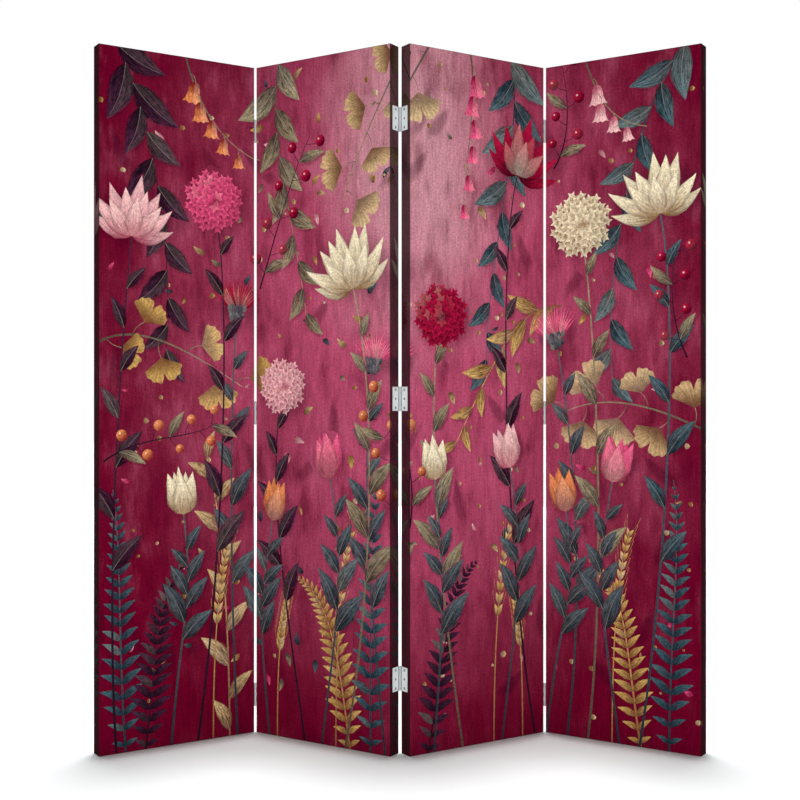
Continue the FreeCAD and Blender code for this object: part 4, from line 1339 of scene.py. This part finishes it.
def zinc_material(name, bright, cloudy, roughness, grain):
    """Zinc on steel: soft clouds in tone and gloss, and fine brushing, long in Z where grain is small."""
    material, tree, shader = new_material(name, Metallic=0.35)
    place = add_node(tree, "TexCoord").outputs["Object"]
    clouds = noise(tree, place, 90.0, 3.0, 0.6)
    brushed = add_node(tree, "Mapping", {"Vector": place, "Scale": (900, 900, grain)}).outputs[0]
    brushing = noise(tree, brushed, 1.0, 2.0)
    colour = blend(tree, clouds, linear(bright), linear(cloudy))
    # The colour is darkened by painted shade at the knuckles.
    tree.links.new(tone_of(tree, colour, knuckle_painted_shade(tree, place)), shader.inputs["Base Color"])
    cloudy_gloss = calculate(tree, "MULTIPLY_ADD", clouds, 0.14, roughness)
    gloss = calculate(tree, "MULTIPLY_ADD", brushing, 0.16, cloudy_gloss)
    tree.links.new(gloss, shader.inputs["Roughness"])
    bump = add_node(tree, "Bump", {"Height": brushing, "Strength": 0.12, "Distance": 0.0001})
    tree.links.new(bump.outputs[0], shader.inputs["Normal"])
    return material


METALS = {
    "hinge_steel": zinc_material("zinc_leaf", "#EDF0F1", "#D9DCDE", 0.44, 40),
    "screw_steel": zinc_material("zinc_screw", "#8A8A89", "#6F7070", 0.4, 900),
    "staple_steel": zinc_material("staple_wire", "#BFC1C4", "#A9ABB0", 0.34, 900),
}
print("metals:", ", ".join(METALS))

# %% Planed pine
pine, tree, shader = new_material("planed_pine", Roughness=0.6)
place = add_node(tree, "TexCoord").outputs["Object"]
grown = add_node(tree, "Mapping", {"Vector": place, "Scale": (60, 60, 3)}).outputs[0]
rings = add_node(tree, "TexWave", {"Vector": grown, "Scale": 0.9, "Distortion": 6.0, "Detail": 3.0})
drawn_long = add_node(tree, "Mapping", {"Vector": place, "Scale": (900, 900, 30)}).outputs[0]
fibres = noise(tree, drawn_long, 1.0, 3.0)
colour = blend(tree, rings.outputs["Fac"], linear("#DDBB86"), linear("#B98A52"))
tree.links.new(tone_of(tree, colour, swing(tree, fibres, 0.3, 1.0)), shader.inputs["Base Color"])
bump = add_node(tree, "Bump", {"Height": fibres, "Strength": 0.2, "Distance": 0.0003})
tree.links.new(bump.outputs[0], shader.inputs["Normal"])
print("pine with", len(tree.nodes), "nodes")

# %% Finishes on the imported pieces
finishes = {"pine": pine, **METALS}
dressed = 0
for subpart in frame["record"]["subparts"]:
    finish = finishes.get(subpart["material_slot"])
    if finish:
        node = frame["nodes"][subpart["node"]]
        node.data.materials.clear()
        node.data.materials.append(finish)
        dressed += 1
print("packed nodes given a finish:", dressed)

# %% [markdown]
# ## Floor, light and background
# The screen stands on a white floor that runs into a white background, and only its soft shadow shows.
# For the camera the floor adds just enough white to reach the background's white, a little more far off,
# and keeps its shadow.
# Two distant lamps shine down from a little behind, so that the shadow falls forward: a wide one gives its
# soft outer part, and a small one its dark core along the foot. A large lamp in front lights the print,
# and a weaker one behind lights the lining. The shadow could be painted on the floor, but one that the
# lamps cast stays right when the panels fold.

# %% Floor
FLOOR_SIZE = 40
# A trace cooler than white, against the red that the print throws on it.
FLOOR_WHITE = (0.92, 0.96, 0.96, 1)

bpy.ops.object.select_all(action="DESELECT")
bpy.ops.mesh.primitive_plane_add(size=FLOOR_SIZE, location=(0, 0, 0))
floor = bpy.context.object
floor.name = "floor"


def seen_directly(tree):
    """1 where the camera sees a surface, also in a mirror or through glass, and 0 for its light."""
    seen = add_node(tree, "LightPath").outputs
    mirrored = calculate(tree, "MAXIMUM", seen["Is Glossy Ray"], seen["Is Transmission Ray"])
    return calculate(tree, "MAXIMUM", seen["Is Camera Ray"], mirrored)


floor_material, tree, shader = new_material("white_floor", Base_Color=FLOOR_WHITE, Roughness=1.0,
                                            Specular_IOR_Level=0.0)
place = add_node(tree, "TexCoord").outputs["Object"]
away = add_node(tree, "VectorMath", {0: place}, operation="LENGTH").outputs["Value"]
added_white = calculate(tree, "MULTIPLY", seen_directly(tree), ramp(tree, away, 2.0, 6.0, 0.055, 0.22))
glow = add_node(tree, "Emission", {"Strength": added_white}).outputs[0]
both = add_node(tree, "AddShader", {0: shader.outputs[0], 1: glow}).outputs[0]
tree.links.new(both, tree.nodes["Material Output"].inputs["Surface"])
floor.data.materials.append(floor_material)
print("floor", tuple(floor.dimensions))

# %% Background and lamps
# The part of the background's white that lights the screen. The camera sees all of it.
AMBIENT = 0.08

world = bpy.data.worlds.new("studio")
bpy.context.scene.world = world
world.use_nodes = True
tree = world.node_tree
background = tree.nodes["Background"]
background.inputs["Color"].default_value = (1, 1, 1, 1)
strength = calculate(tree, "MULTIPLY_ADD", seen_directly(tree), 1 - AMBIENT, AMBIENT)
tree.links.new(strength, background.inputs["Strength"])


def add_lamp(name, kind, place, aim, power, **softness):
    """A soft lamp at a place, pointed at a spot."""
    data = bpy.data.lights.new(name, kind)
    data.energy = power
    for setting, amount in softness.items():
        setattr(data, setting, amount)
    lamp = bpy.data.objects.new(name, data)
    lamp.location = place
    lamp.rotation_euler = (Vector(aim) - Vector(place)).to_track_quat("-Z", "Y").to_euler()
    bpy.context.scene.collection.objects.link(lamp)


add_lamp("wide_top_lamp", "SUN", (0, 0.48, 4), (0, 0, 0), 1.75, angle=math.radians(10.5))
add_lamp("small_top_lamp", "SUN", (0, 0.085, 4), (0, 0, 0), 1.12, angle=math.radians(2.4))
add_lamp("front_lamp", "AREA", (0, -6.0, 0.5), (0, 0, 0.75), 235, shape="RECTANGLE", size=4.2, size_y=0.9)
add_lamp("back_lamp", "AREA", (0, 6.0, 0.7), (0, 0, 0.75), 110, shape="RECTANGLE", size=4.0, size_y=0.9)
bpy.context.scene.view_settings.view_transform = "Standard"
print("background and four lamps")
